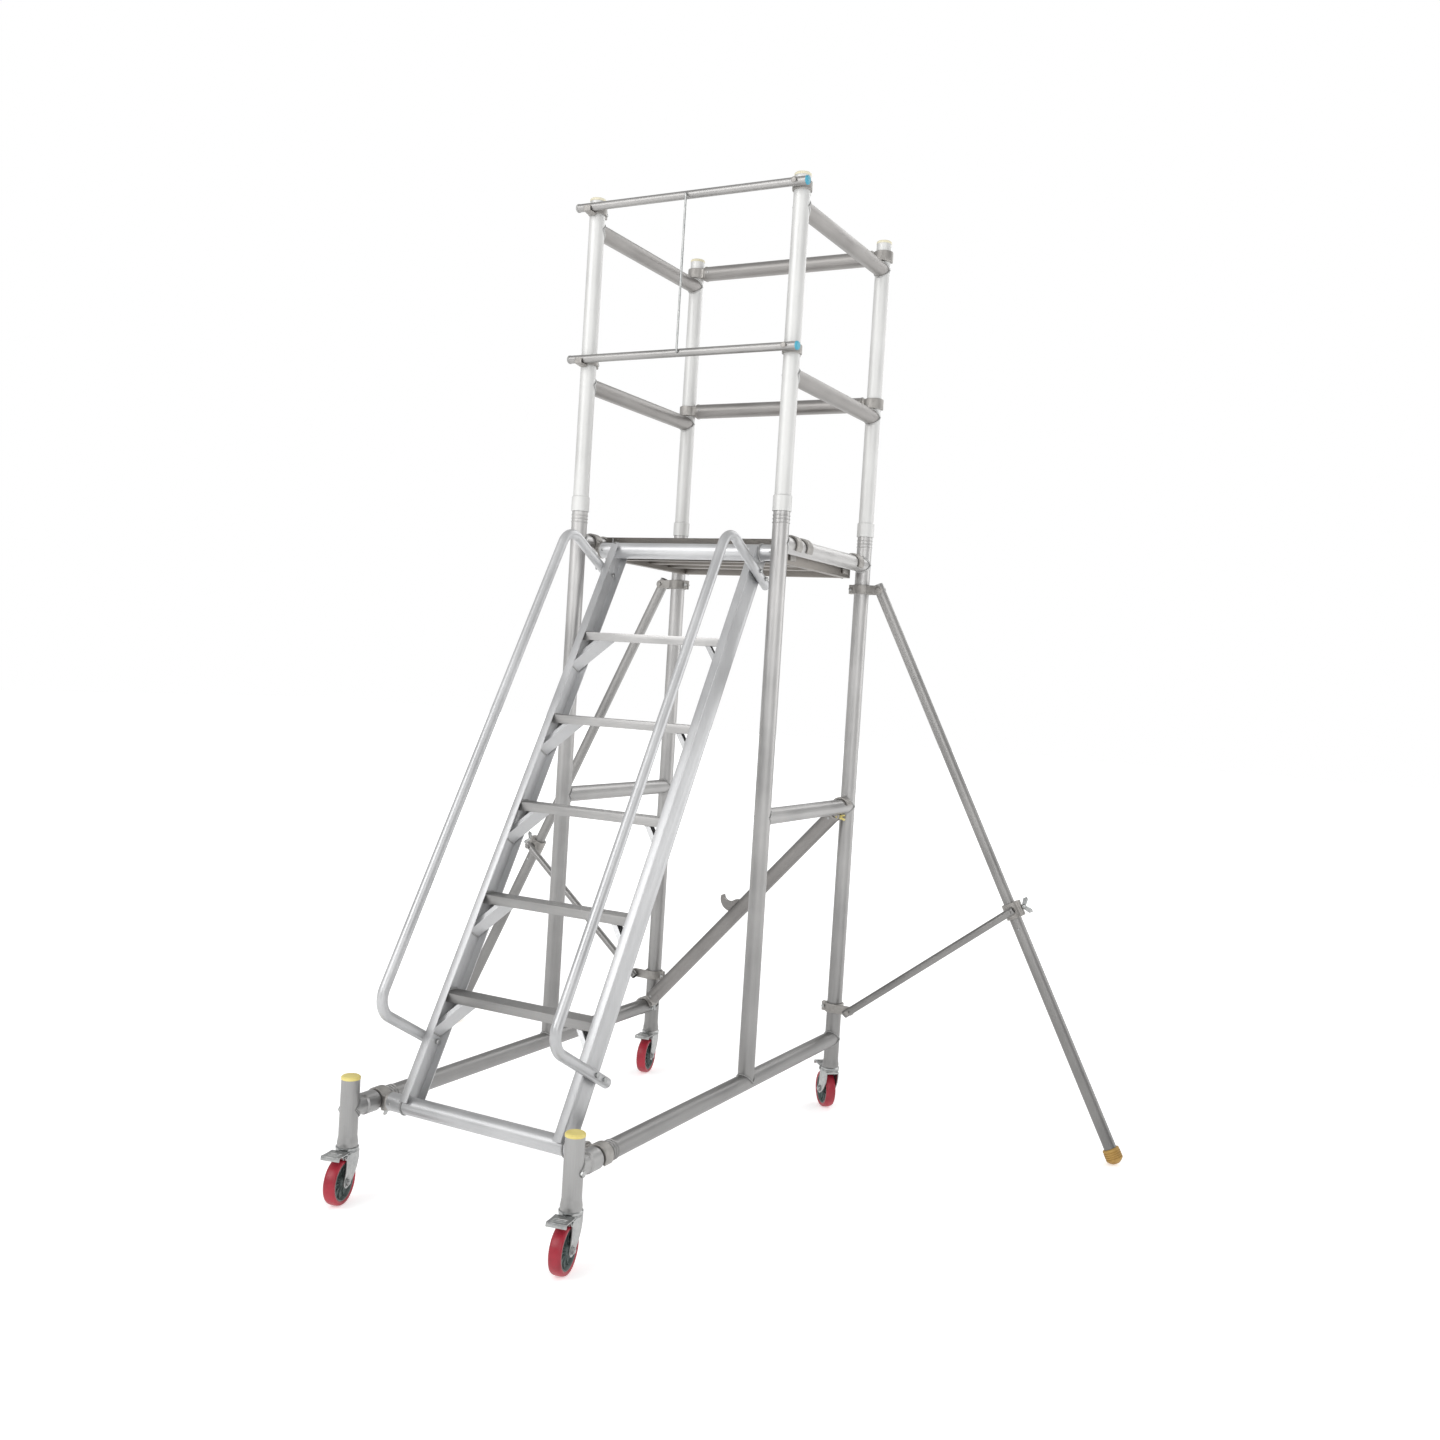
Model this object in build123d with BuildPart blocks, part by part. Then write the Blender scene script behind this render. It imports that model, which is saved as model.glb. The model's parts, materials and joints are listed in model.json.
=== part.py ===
"""Mobile aluminium work platform: two welded side frames on four braked casters, a hook-on ladder with
handrails, a deck inside a guardrail cage with a lift-up gate, and two fold-in outriggers at the rear.
Millimetres, +Z up, +X to the climber's right, +Y away from the climber. The origin is on the floor under
the middle of the overall box. Tubes are 2 inch (50.8 mm) aluminium unless they are named otherwise."""

import os
from math import atan2, cos, degrees, radians, sin, sqrt, tan

from build123d import *

os.makedirs("parts", exist_ok=True)

# Overall layout
FRAME_WIDTH = 730  # between the axes of the left and right tubes
FRAME_DEPTH = 665  # front upright axis to rear upright axis
LEG_REACH = 930  # front upright axis to front caster leg axis
FRONT_Y = 134.2  # front upright axis, which puts the origin under the middle of the overall box
HALF_W = FRAME_WIDTH / 2
REAR_Y = FRONT_Y + FRAME_DEPTH
LEG_Y = FRONT_Y - LEG_REACH

# Heights of tube axes above the floor
POST_BOTTOM = 150
BASE_Z = 250
MID_RAIL_Z = 1060
DECK_RAIL_Z = 1890
JOINT_Z = 1985
GUARD_RAIL_Z = (2395, 2895)
REAR_RAIL_Z = (2440, 2940)
GATE_BAR_Z = (2470, 2955)
POST_TOP = 2985
LEG_TOP = 331

# Tube and fit sizes
TUBE_R = 25.4
TUBE_WALL = 2
BORE_R = TUBE_R - TUBE_WALL
COPE_GAP = 2  # a coped tube stops this far short of the axis it meets, which leaves no feather edge
FIT = 0.15  # radial clearance of a plug in a tube or a sleeve on one
RUNNING = 0.1  # radial clearance of a pin in its hole
FREE = 0.3  # clearance between faces that move past each other

# Swaged rings below each post joint and behind each leg joint
RING_R = 27.2
RING_WIDTH = 4
RING_PITCH = 11
RING_COUNT = 3

# Claw castings that hook a tube's end over another tube
CLAW_INNER = 25.7
CLAW_OUTER = 33
CLAW_WIDTH = 36
CLAW_REACH = 46  # hooked tube's axis to the end of the hooked-on tube

# Ladder
LADDER_SLOPE = 61.1
TREAD_COUNT = 5
TREAD_PITCH = 262.4
FIRST_TREAD_Z = 530
TREAD_DEPTH = 62
TREAD_HEIGHT = 25
STRINGER_DEPTH = 75
STRINGER_FLANGE = 25
STRINGER_WALL = 3
LADDER_HALF_W = 266  # outer faces of the stringers
LADDER_TOP_Z = 1869
HANDRAIL_R = 15
HANDRAIL_OFFSET = 249  # handrail's long run in front of the ladder's centre line
HANDRAIL_BEND = 60

# Deck
DECK_TOP = 1916
DECK_DEPTH = 74
DECK_HALF_W = 331
DECK_FRONT = FRONT_Y + 115
DECK_REAR = FRONT_Y + 635

# Casters
WHEEL_R = 62.5
TYRE_WIDTH = 34
CORE_R = 51
TRAIL = 34  # swivel axis to wheel axle

# Outriggers, in the plane through the rear upright's axis: r outward, z up
OUTRIGGER_AZIMUTH = 4  # degrees behind straight sideways, as set up
PIVOT_R = 66
TOP_PIVOT_Z = 1806
LOW_PIVOT_Z = 358
LEG_ANGLE = atan2(0.507, 1)
LEG_R = 18
EXTENSION_R = 20
STRUT_R = 12.7
STRUT_SIDE = 46  # the strut lies this far in front of the leg, so that the two pass as they fold
CLAMP_DISTANCE = 1162.4  # top pivot to the clamp's centre along the leg


def save(name, *pieces):
    """Writes one node: a single part, or several separate solids of the same kind."""
    solids = [solid for piece in pieces for solid in piece.solids()]
    node = pieces[0] if len(pieces) == 1 else Compound(solids)
    node.label = name
    export_step(node, f"parts/{name}.step")


def along(start, end, x_dir=None):
    """The plane at start that faces end."""
    direction = Vector(*end) - Vector(*start)
    return Plane(origin=start, x_dir=x_dir, z_dir=direction)


def distance(start, end):
    return (Vector(*end) - Vector(*start)).length


def rod(start, end, radius=TUBE_R):
    """A solid round bar, which is also the cutter that copes a tube."""
    with BuildPart() as made:
        with BuildSketch(along(start, end)):
            Circle(radius)
        extrude(amount=distance(start, end))
    return made.part


def tube(start, end, radius=TUBE_R, wall=TUBE_WALL, copes=()):
    """A straight round tube, its ends cut to fit round the bars in copes."""
    with BuildPart() as made:
        with BuildSketch(along(start, end)):
            Circle(radius)
            Circle(radius - wall, mode=Mode.SUBTRACT)
        extrude(amount=distance(start, end))
        for bar in copes:
            add(bar, mode=Mode.SUBTRACT)
    return made.part


def turned(plane, profile, cuts=()):
    """A solid of revolution about the plane's normal; profile lists (radius, height) points."""
    side = Plane(origin=plane.origin, x_dir=plane.x_dir, z_dir=-plane.y_dir)
    with BuildPart() as made:
        with BuildSketch(side):
            with BuildLine():
                Polyline(*profile, close=True)
            make_face()
        revolve(axis=Axis(plane.origin, plane.z_dir))
        for bar in cuts:
            add(bar, mode=Mode.SUBTRACT)
    return made.part


def upright_plane(x, y):
    return Plane(origin=(x, y, 0))


def ring_steps(first):
    """Outline points of the swaged rings that follow each other from height first upward."""
    steps = []
    for index in range(RING_COUNT):
        low = first + index * RING_PITCH
        high = low + RING_WIDTH
        steps += [(TUBE_R, low), (RING_R, low + 1), (RING_R, high - 1), (TUBE_R, high)]
    return steps


# Vertical and horizontal axes that tubes are coped to
def post_bar(x, y):
    return rod((x, y, 0), (x, y, POST_TOP))


def side_bar(x, z):
    return rod((x, LEG_Y, z), (x, REAR_Y, z))


# Side frames ---------------------------------------------------------------------------------------
RING_FIRST_Z = JOINT_Z - 36
FLARE_R = 28
POST_FLARE = [
    (BORE_R, POST_BOTTOM),
    (FLARE_R, POST_BOTTOM),
    (FLARE_R, POST_BOTTOM + 10),
    (TUBE_R, POST_BOTTOM + 28),
]
BASE_FRONT_Y = FRONT_Y - 858
BASE_RING_Y = FRONT_Y - 784


def side_frame(x):
    """One welded side: the base tube, two uprights with swaged tops, the mid rail and the deck rail."""
    front, rear, base = post_bar(x, FRONT_Y), post_bar(x, REAR_Y), side_bar(x, BASE_Z)
    front_outline = [(BORE_R, BASE_Z + COPE_GAP), (TUBE_R, BASE_Z + COPE_GAP)]
    top = ring_steps(RING_FIRST_Z) + [(TUBE_R, JOINT_Z), (BORE_R, JOINT_Z)]
    base_plane = Plane(origin=(x, 0, BASE_Z), x_dir=(1, 0, 0), z_dir=(0, 1, 0))
    base_outline = [(BORE_R, BASE_FRONT_Y), (TUBE_R, BASE_FRONT_Y)] + ring_steps(BASE_RING_Y)
    base_outline += [(TUBE_R, REAR_Y - COPE_GAP), (BORE_R, REAR_Y - COPE_GAP)]
    rails = [
        tube((x, FRONT_Y + COPE_GAP, z), (x, REAR_Y - COPE_GAP, z), copes=(front, rear))
        for z in (MID_RAIL_Z, DECK_RAIL_Z)
    ]
    return [
        turned(base_plane, base_outline, cuts=(rear,)),
        turned(upright_plane(x, FRONT_Y), front_outline + top, cuts=(base,)),
        turned(upright_plane(x, REAR_Y), POST_FLARE + top),
        *rails,
    ]


save("left_side_frame", *side_frame(-HALF_W))
save("right_side_frame", *side_frame(HALF_W))

# Front caster legs: a flared post, a stub and the sleeve that slides over the base tube ------------
SLEEVE_R = 29.5
SLEEVE_FRONT_Y = FRONT_Y - 880
SLEEVE_REAR_Y = FRONT_Y - 838
STUB_END_Y = BASE_FRONT_Y - FREE


def front_leg(x):
    post = post_bar(x, LEG_Y)
    outline = POST_FLARE + [(TUBE_R, LEG_TOP), (BORE_R, LEG_TOP)]
    stub_plane = Plane(origin=(x, 0, BASE_Z), x_dir=(1, 0, 0), z_dir=(0, 1, 0))
    stub_outline = [
        (BORE_R, LEG_Y + COPE_GAP),
        (TUBE_R, LEG_Y + COPE_GAP),
        (TUBE_R, SLEEVE_FRONT_Y - 4),
        (SLEEVE_R, SLEEVE_FRONT_Y),
        (SLEEVE_R, SLEEVE_REAR_Y),
        (TUBE_R + FIT, SLEEVE_REAR_Y),
        (TUBE_R + FIT, STUB_END_Y),
        (BORE_R, STUB_END_Y),
    ]
    return [turned(upright_plane(x, LEG_Y), outline), turned(stub_plane, stub_outline, cuts=(post,))]


save("front_legs", *front_leg(-HALF_W), *front_leg(HALF_W))

# Guard frames: posts with socket sleeves at the foot, and two side rails ---------------------------
GUARD_SLEEVE_R = 29
GUARD_SLEEVE_TOP = JOINT_Z + 50


def guard_frame(x):
    front, rear = post_bar(x, FRONT_Y), post_bar(x, REAR_Y)
    outline = [
        (BORE_R, JOINT_Z + 1),
        (GUARD_SLEEVE_R, JOINT_Z + 1),
        (GUARD_SLEEVE_R, GUARD_SLEEVE_TOP - 3),
        (TUBE_R, GUARD_SLEEVE_TOP),
        (TUBE_R, POST_TOP),
        (BORE_R, POST_TOP),
    ]
    posts = [turned(upright_plane(x, y), outline) for y in (FRONT_Y, REAR_Y)]
    rails = [
        tube((x, FRONT_Y + COPE_GAP, z), (x, REAR_Y - COPE_GAP, z), copes=(front, rear)) for z in GUARD_RAIL_Z
    ]
    return posts + rails


save("left_guard_frame", *guard_frame(-HALF_W))
save("right_guard_frame", *guard_frame(HALF_W))

# Spigots hidden inside the post joints and the leg joints, and end caps ----------------------------
SPIGOT_HALF = 75
SPIGOT_R = BORE_R - FIT
CAP_TOP = 10
SIDES = (-HALF_W, HALF_W)
POST_SPOTS = [(x, y) for x in SIDES for y in (FRONT_Y, REAR_Y)]
LEG_SPOTS = [(x, LEG_Y) for x in SIDES]

spigots = [
    tube((x, y, JOINT_Z - SPIGOT_HALF), (x, y, JOINT_Z + SPIGOT_HALF), SPIGOT_R, 2.5) for x, y in POST_SPOTS
]
spigots += [
    tube((x, BASE_FRONT_Y - 42, BASE_Z), (x, BASE_FRONT_Y + 78, BASE_Z), SPIGOT_R, 2.5) for x in SIDES
]
save("joint_spigots", *spigots)


def cap(x, y, z):
    """A pressed-in plastic end cap with a domed head."""
    brim = TUBE_R + 0.8
    outline = [(0, z - 14), (SPIGOT_R, z - 14), (SPIGOT_R, z), (brim, z), (brim, z + CAP_TOP - 4)]
    outline += [(TUBE_R - 2.5, z + CAP_TOP - 0.8), (0, z + CAP_TOP)]
    return turned(upright_plane(x, y), outline)


caps = [cap(x, y, POST_TOP) for x, y in POST_SPOTS] + [cap(x, y, LEG_TOP) for x, y in LEG_SPOTS]
save("tube_caps", *caps)

# Claw castings and their spring triggers -----------------------------------------------------------
CLAW_MOUTH = (-145, -42)  # degrees from the hooked-on tube's direction
CLAW_EAR_GAP = 14
TRIGGER_PIVOT = (33, -17)
TRIGGER_PIN_R = 2.5


def claw(plane, drop=0):
    """A hook round the plane's Z axis. The hooked-on tube leaves along +X, set down by drop, and the mouth
    faces -Y between two ears that hold the trigger's pin."""
    shank = Plane(origin=plane.from_local_coords((0, -drop, 0)), x_dir=plane.z_dir, z_dir=plane.x_dir)
    with BuildPart() as made:
        with BuildSketch(plane.offset(-CLAW_WIDTH / 2)):
            Circle(CLAW_OUTER)
            with BuildLine():
                neck = CLAW_REACH - 5
                Polyline((20, 20), (neck, 16 - drop), (neck, -23 - drop), (24, -28), close=True)
            make_face()
            Circle(CLAW_INNER, mode=Mode.SUBTRACT)
            with BuildLine():
                reach = 60
                Polyline(
                    (0, 0),
                    *[(reach * cos(radians(a)), reach * sin(radians(a))) for a in CLAW_MOUTH],
                    close=True,
                )
            make_face(mode=Mode.SUBTRACT)
        extrude(amount=CLAW_WIDTH)
        with BuildSketch(plane.offset(-CLAW_EAR_GAP / 2)):
            with Locations((TRIGGER_PIVOT[0], TRIGGER_PIVOT[1] - 4)):
                Rectangle(CLAW_REACH, 27)
        extrude(amount=CLAW_EAR_GAP, mode=Mode.SUBTRACT)
        with BuildSketch(plane.offset(-CLAW_WIDTH / 2)):
            with Locations(TRIGGER_PIVOT):
                Circle(TRIGGER_PIN_R + RUNNING)
        extrude(amount=CLAW_WIDTH, mode=Mode.SUBTRACT)
        with BuildSketch(shank.offset(CLAW_REACH - 7)):
            Circle(TUBE_R + 1.6)
        extrude(amount=7)
        with BuildSketch(shank.offset(CLAW_REACH)):
            Circle(SPIGOT_R)
        extrude(amount=30)
    return made.part


def trigger(plane):
    """The sprung tongue across a claw's mouth, with its finger tail and pin."""
    tongue = 10
    with BuildPart() as made:
        with BuildSketch(plane.offset(-tongue / 2)):
            with BuildLine():
                Polyline((35, -21), (29, -14), (12, -27), (13, -32), (26, -24.5), (21, -40), (26, -42))
                Line((26, -42), (35, -21))
            make_face()
            with Locations(TRIGGER_PIVOT):
                Circle(5)
        extrude(amount=tongue)
        with BuildSketch(plane.offset(-CLAW_WIDTH / 2)):
            with Locations(TRIGGER_PIVOT):
                Circle(TRIGGER_PIN_R)
        extrude(amount=CLAW_WIDTH)
    return made.part


# Where each claw sits: hooked tube's axis, direction of the hooked-on tube, closed side
BRACE_Y = FRONT_Y + 612
BRACE_RISE = MID_RAIL_Z - BASE_Z
BRACE_LENGTH = sqrt(FRAME_WIDTH**2 + BRACE_RISE**2)
BRACE_DIR = Vector(FRAME_WIDTH, 0, BRACE_RISE) / BRACE_LENGTH
BRACE_NORMAL = Vector(-BRACE_RISE, 0, FRAME_WIDTH) / BRACE_LENGTH
LADDER_FOOT_Y = FRONT_Y - 813
LADDER_TOP_Y = LADDER_FOOT_Y + (LADDER_TOP_Z - BASE_Z) / tan(radians(LADDER_SLOPE))
TOP_CLAW_DROP = DECK_RAIL_Z - LADDER_TOP_Z


def claw_plane(origin, toward, closed):
    toward, closed = Vector(*toward), Vector(*closed)
    return Plane(origin=origin, x_dir=toward, z_dir=toward.cross(closed))


rail_claws = [
    claw(claw_plane((x, REAR_Y, z), (-x, 0, 0), (0, -1, 0))) for z in REAR_RAIL_Z for x in SIDES
]
brace_planes = {
    "lower": claw_plane((-HALF_W, BRACE_Y, BASE_Z), BRACE_DIR, BRACE_NORMAL),
    "upper": claw_plane((HALF_W, BRACE_Y, MID_RAIL_Z), -BRACE_DIR, BRACE_NORMAL),
}
foot_planes = {
    "left": claw_plane((-HALF_W, LADDER_FOOT_Y, BASE_Z), (1, 0, 0), (0, 0, 1)),
    "right": claw_plane((HALF_W, LADDER_FOOT_Y, BASE_Z), (-1, 0, 0), (0, 0, 1)),
}
top_claws = [
    claw(claw_plane((x, LADDER_TOP_Y, DECK_RAIL_Z), (-x, 0, 0), (0, 0, 1)), TOP_CLAW_DROP) for x in SIDES
]
foot_claws = [claw(plane) for plane in foot_planes.values()]
brace_claws = [claw(plane) for plane in brace_planes.values()]
save("tube_claws", *rail_claws, *brace_claws, *foot_claws, *top_claws)
for place, plane in brace_planes.items():
    save(f"brace_trigger_{place}", trigger(plane))
for place, plane in foot_planes.items():
    save(f"ladder_trigger_{place}", trigger(plane))

# Rear guard rails and the rear diagonal brace ------------------------------------------------------
rear_rails = [
    tube((-HALF_W + CLAW_REACH, REAR_Y, z), (HALF_W - CLAW_REACH, REAR_Y, z)) for z in REAR_RAIL_Z
]
save("rear_guard_rails", *rear_rails)

brace_start = Vector(-HALF_W, BRACE_Y, BASE_Z) + BRACE_DIR * CLAW_REACH
brace_end = Vector(HALF_W, BRACE_Y, MID_RAIL_Z) - BRACE_DIR * CLAW_REACH
HOOK_ALONG = 500  # hook's foot from the lower end, along the brace
HOOK_THICK = 14
hook_foot = brace_start + BRACE_DIR * HOOK_ALONG
hook_plane = Plane(origin=hook_foot, x_dir=BRACE_DIR, z_dir=BRACE_DIR.cross(BRACE_NORMAL))
brace_core = rod(brace_start, brace_end, TUBE_R - 0.5)

# A cast horn on the upper side of the brace, open upward
with BuildPart() as brace_hook:
    with BuildSketch(hook_plane.offset(-HOOK_THICK / 2)):
        with BuildLine():
            Polyline((-32, 20), (32, 20), (14, 36), (2, 40))
            ThreePointArc((2, 40), (-12, 52), (-8, 80))
            Line((-8, 80), (-18, 84))
            ThreePointArc((-18, 84), (-40, 52), (-32, 20))
        make_face()
    extrude(amount=HOOK_THICK)
    add(brace_core, mode=Mode.SUBTRACT)

brace_tube = tube(brace_start, brace_end, copes=(brace_hook.part,))
save("rear_brace", brace_tube, brace_hook.part)

# Deck: a welded frame with cross ribs, a board let into it, and four hooks over the deck rails ------
BEAM_WIDTH = 26
BOARD_THICK = 12
LEDGE = 3
DECK_Z = DECK_TOP - DECK_DEPTH
DECK_LENGTH = DECK_REAR - DECK_FRONT
DECK_MID_Y = (DECK_FRONT + DECK_REAR) / 2
LEDGE_W = DECK_HALF_W * 2 - 2 * LEDGE
LEDGE_D = DECK_LENGTH - 2 * LEDGE
RIB_COUNT = 3
RIB_WIDTH = 40
RIB_RISE = 12  # the ribs' underside above the beams'
DECK_INNER_W = DECK_HALF_W * 2 - 2 * BEAM_WIDTH
board_recess = Pos(0, DECK_MID_Y, DECK_TOP) * Box(LEDGE_W, LEDGE_D, 2 * BOARD_THICK)


def deck_bar(x, y, width, depth, low, high):
    """One bar of the deck frame, with the recess for the board cut from it."""
    with BuildPart() as made:
        with BuildSketch(Plane.XY.offset(low)):
            with Locations((x, y)):
                Rectangle(width, depth)
        extrude(amount=high - low)
        add(board_recess, mode=Mode.SUBTRACT)
    return made.part


deck_bars = []
for side in (-1, 1):
    beam_x = side * (DECK_HALF_W - BEAM_WIDTH / 2)
    deck_bars.append(deck_bar(beam_x, DECK_MID_Y, BEAM_WIDTH, DECK_LENGTH, DECK_Z, DECK_TOP))
    beam_y = DECK_MID_Y + side * (DECK_LENGTH - BEAM_WIDTH) / 2
    deck_bars.append(deck_bar(0, beam_y, DECK_INNER_W, BEAM_WIDTH, DECK_Z, DECK_TOP))
for index in range(RIB_COUNT):
    rib_y = DECK_MID_Y + (index - (RIB_COUNT - 1) / 2) * DECK_LENGTH / (RIB_COUNT + 1)
    deck_bars.append(deck_bar(0, rib_y, DECK_INNER_W, RIB_WIDTH, DECK_Z + RIB_RISE, DECK_TOP - BOARD_THICK))
save("deck_frame", *deck_bars)

with BuildPart() as deck_board:
    with BuildSketch(Plane.XY.offset(DECK_TOP - BOARD_THICK)):
        with Locations((0, DECK_MID_Y)):
            Rectangle(LEDGE_W - 1, LEDGE_D - 1)
    extrude(amount=BOARD_THICK - 0.5)
save("deck_board", deck_board.part)

HOOK_WIDTH = 40
HOOK_R = 32
DECK_HOOK_Y = (FRONT_Y + 160, FRONT_Y + 580)


def deck_hook(x, y):
    """A cast hook bolted to the deck's side that hangs over the deck rail."""
    side = 1 if x > 0 else -1
    plane = Plane(origin=(x, y, DECK_RAIL_Z), x_dir=(side, 0, 0), z_dir=(0, -side, 0))
    plate = HALF_W - DECK_HALF_W
    with BuildPart() as made:
        with BuildSketch(plane.offset(-HOOK_WIDTH / 2)):
            Circle(HOOK_R)
            with Locations((-plate + 4, -6)):
                Rectangle(8, 64)
            Circle(CLAW_INNER, mode=Mode.SUBTRACT)
            with Locations((0, -CLAW_INNER - 20)):
                Rectangle(2 * (plate - 8), 60, mode=Mode.SUBTRACT)
        extrude(amount=HOOK_WIDTH)
    return made.part


save("deck_hooks", *[deck_hook(x, y) for x in SIDES for y in DECK_HOOK_Y])

# Ladder --------------------------------------------------------------------------------------------
UP = Vector(0, cos(radians(LADDER_SLOPE)), sin(radians(LADDER_SLOPE)))
OUT = Vector(0, -sin(radians(LADDER_SLOPE)), cos(radians(LADDER_SLOPE)))
LADDER_FOOT = Vector(0, LADDER_FOOT_Y, BASE_Z)
LADDER_LENGTH = (LADDER_TOP_Z - BASE_Z) / sin(radians(LADDER_SLOPE))
RAIL_X = LADDER_HALF_W + HANDRAIL_R + 0.3
RAIL_LOW = 188  # handrail's lower and upper legs, along the ladder from the foot tube
RAIL_HIGH = 1766
RAIL_END = -62  # the legs end behind the stringer's centre line
BOLT_R = 4
BOLT_OFFSETS = (-22, 22)


def ladder_point(x, up, out=0):
    return Vector(x, 0, 0) + LADDER_FOOT + UP * up + OUT * out


bolt_spots = [(side, up, out) for side in (-1, 1) for up in (RAIL_LOW, RAIL_HIGH) for out in BOLT_OFFSETS]


def cross_rod(side, up, out, inner, outer, radius):
    """A bar along X between two distances from the middle, at a place on the ladder's side."""
    return rod(ladder_point(side * inner, up, out), ladder_point(side * outer, up, out), radius)


foot_tube_bar = rod((-HALF_W, LADDER_FOOT_Y, BASE_Z), (HALF_W, LADDER_FOOT_Y, BASE_Z))
top_tube_bar = rod((-HALF_W, LADDER_TOP_Y, LADDER_TOP_Z), (HALF_W, LADDER_TOP_Y, LADDER_TOP_Z))


def stringer(side):
    """A channel with its web outside, coped round the foot tube and the top tube."""
    section = Plane(origin=ladder_point(0, 0), x_dir=(1, 0, 0), z_dir=UP)
    with BuildPart() as made:
        with BuildSketch(section):
            with Locations((side * (LADDER_HALF_W - STRINGER_FLANGE / 2), 0)):
                Rectangle(STRINGER_FLANGE, STRINGER_DEPTH)
            with Locations((side * (LADDER_HALF_W - STRINGER_FLANGE / 2 - STRINGER_WALL), 0)):
                Rectangle(STRINGER_FLANGE, STRINGER_DEPTH - 2 * STRINGER_WALL, mode=Mode.SUBTRACT)
        extrude(amount=LADDER_LENGTH)
        add(foot_tube_bar, mode=Mode.SUBTRACT)
        add(top_tube_bar, mode=Mode.SUBTRACT)
        for spot in bolt_spots:
            if spot[0] == side:
                add(cross_rod(*spot, 200, 300, BOLT_R + RUNNING), mode=Mode.SUBTRACT)
    return made.part


save("ladder_stringers", stringer(-1), stringer(1))
save(
    "ladder_end_tubes",
    *[
        tube((-HALF_W + CLAW_REACH, y, z), (HALF_W - CLAW_REACH, y, z))
        for y, z in ((LADDER_FOOT_Y, BASE_Z), (LADDER_TOP_Y, LADDER_TOP_Z))
    ],
)

TREAD_HALF_L = LADDER_HALF_W - STRINGER_WALL
TREAD_RUN = TREAD_PITCH / tan(radians(LADDER_SLOPE))
TREAD_MID_Y = FRONT_Y - 690.4 + TREAD_DEPTH / 2
TREAD_WALL = 2.5
GROOVE_COUNT = 8


def tread_place(index):
    return Location((0, TREAD_MID_Y + index * TREAD_RUN, FIRST_TREAD_Z + index * TREAD_PITCH))


with BuildPart() as tread:
    with BuildSketch(Plane(origin=(-TREAD_HALF_L, 0, 0), x_dir=(0, 1, 0), z_dir=(1, 0, 0))):
        Rectangle(TREAD_DEPTH, TREAD_HEIGHT)
        cell_width = TREAD_DEPTH / 2 - 1.5 * TREAD_WALL
        cell_height = TREAD_HEIGHT - 2 * TREAD_WALL - 1
        for side in (-1, 1):
            with Locations((side * TREAD_DEPTH / 4, -0.5)):
                Rectangle(cell_width, cell_height, mode=Mode.SUBTRACT)
        with Locations((0, TREAD_HEIGHT / 2)):
            with GridLocations(7, 1, GROOVE_COUNT, 1):
                Rectangle(3, 2.4, mode=Mode.SUBTRACT)
    extrude(amount=2 * TREAD_HALF_L)
save("ladder_treads", *[tread_place(index) * tread.part for index in range(TREAD_COUNT)])

BRACKET_IN = 85  # bracket's foot on the tread, in from the web
BRACKET_DROP = 103
BRACKET_DEPTH = 50
BRACKET_WALL = 3


def tread_bracket(side):
    """A channel strut from the underside of the lowest tread down to the stringer's web."""
    plane = Plane(origin=(0, 0, -TREAD_HEIGHT / 2), x_dir=(side, 0, 0), z_dir=OUT * -side)
    up = 1 if plane.y_dir.Z > 0 else -1
    with BuildPart() as made:
        with BuildSketch(plane.offset(-BRACKET_DEPTH / 2)):
            with BuildLine():
                Polyline(
                    (TREAD_HALF_L - BRACKET_IN - 9, 40 * up),
                    (TREAD_HALF_L - BRACKET_IN - 9, 12 * up),
                    (TREAD_HALF_L, -BRACKET_DROP * up),
                    (TREAD_HALF_L, (22 - BRACKET_DROP) * up),
                    (TREAD_HALF_L - BRACKET_IN + 8, 12 * up),
                    (TREAD_HALF_L - BRACKET_IN + 8, 40 * up),
                    close=True,
                )
            make_face()
        extrude(amount=BRACKET_DEPTH)
        with BuildSketch(plane.offset(BRACKET_WALL - BRACKET_DEPTH / 2)):
            with BuildLine():
                Polyline(
                    (TREAD_HALF_L - BRACKET_IN - 9 + BRACKET_WALL, 40 * up),
                    (TREAD_HALF_L - BRACKET_IN - 9 + BRACKET_WALL, 12 * up),
                    (TREAD_HALF_L + 2, (3 - BRACKET_DROP) * up),
                    (TREAD_HALF_L + 2, 40 * up),
                    close=True,
                )
            make_face()
        extrude(amount=BRACKET_DEPTH - 2 * BRACKET_WALL, mode=Mode.SUBTRACT)
        with Locations((0, 0, -TREAD_HEIGHT / 2)):
            Box(1000, 400, 200, align=(Align.CENTER, Align.CENTER, Align.MIN), mode=Mode.SUBTRACT)
    return made.part


def bracket_solids():
    solids = []
    for side in (-1, 1):
        made = tread_bracket(side)
        for index in range(TREAD_COUNT):
            solids.append(tread_place(index) * made)
    return solids


save("tread_brackets", *bracket_solids())


def rail_run(start, end, cutters):
    return tube(start, end, HANDRAIL_R, TUBE_WALL, cutters)


def rail_bend(corner, before, after):
    """A bend of the handrail round a corner, from the run that comes from before to the run toward after."""
    start = corner + (before - corner).normalized() * HANDRAIL_BEND
    end = corner + (after - corner).normalized() * HANDRAIL_BEND
    with BuildPart() as made:
        with BuildLine() as path:
            TangentArc(start, end, tangent=corner - start)
        with BuildSketch(along(start, corner)):
            Circle(HANDRAIL_R)
            Circle(HANDRAIL_R - TUBE_WALL, mode=Mode.SUBTRACT)
        sweep(path=path.line)
    return made.part, start, end


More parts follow.
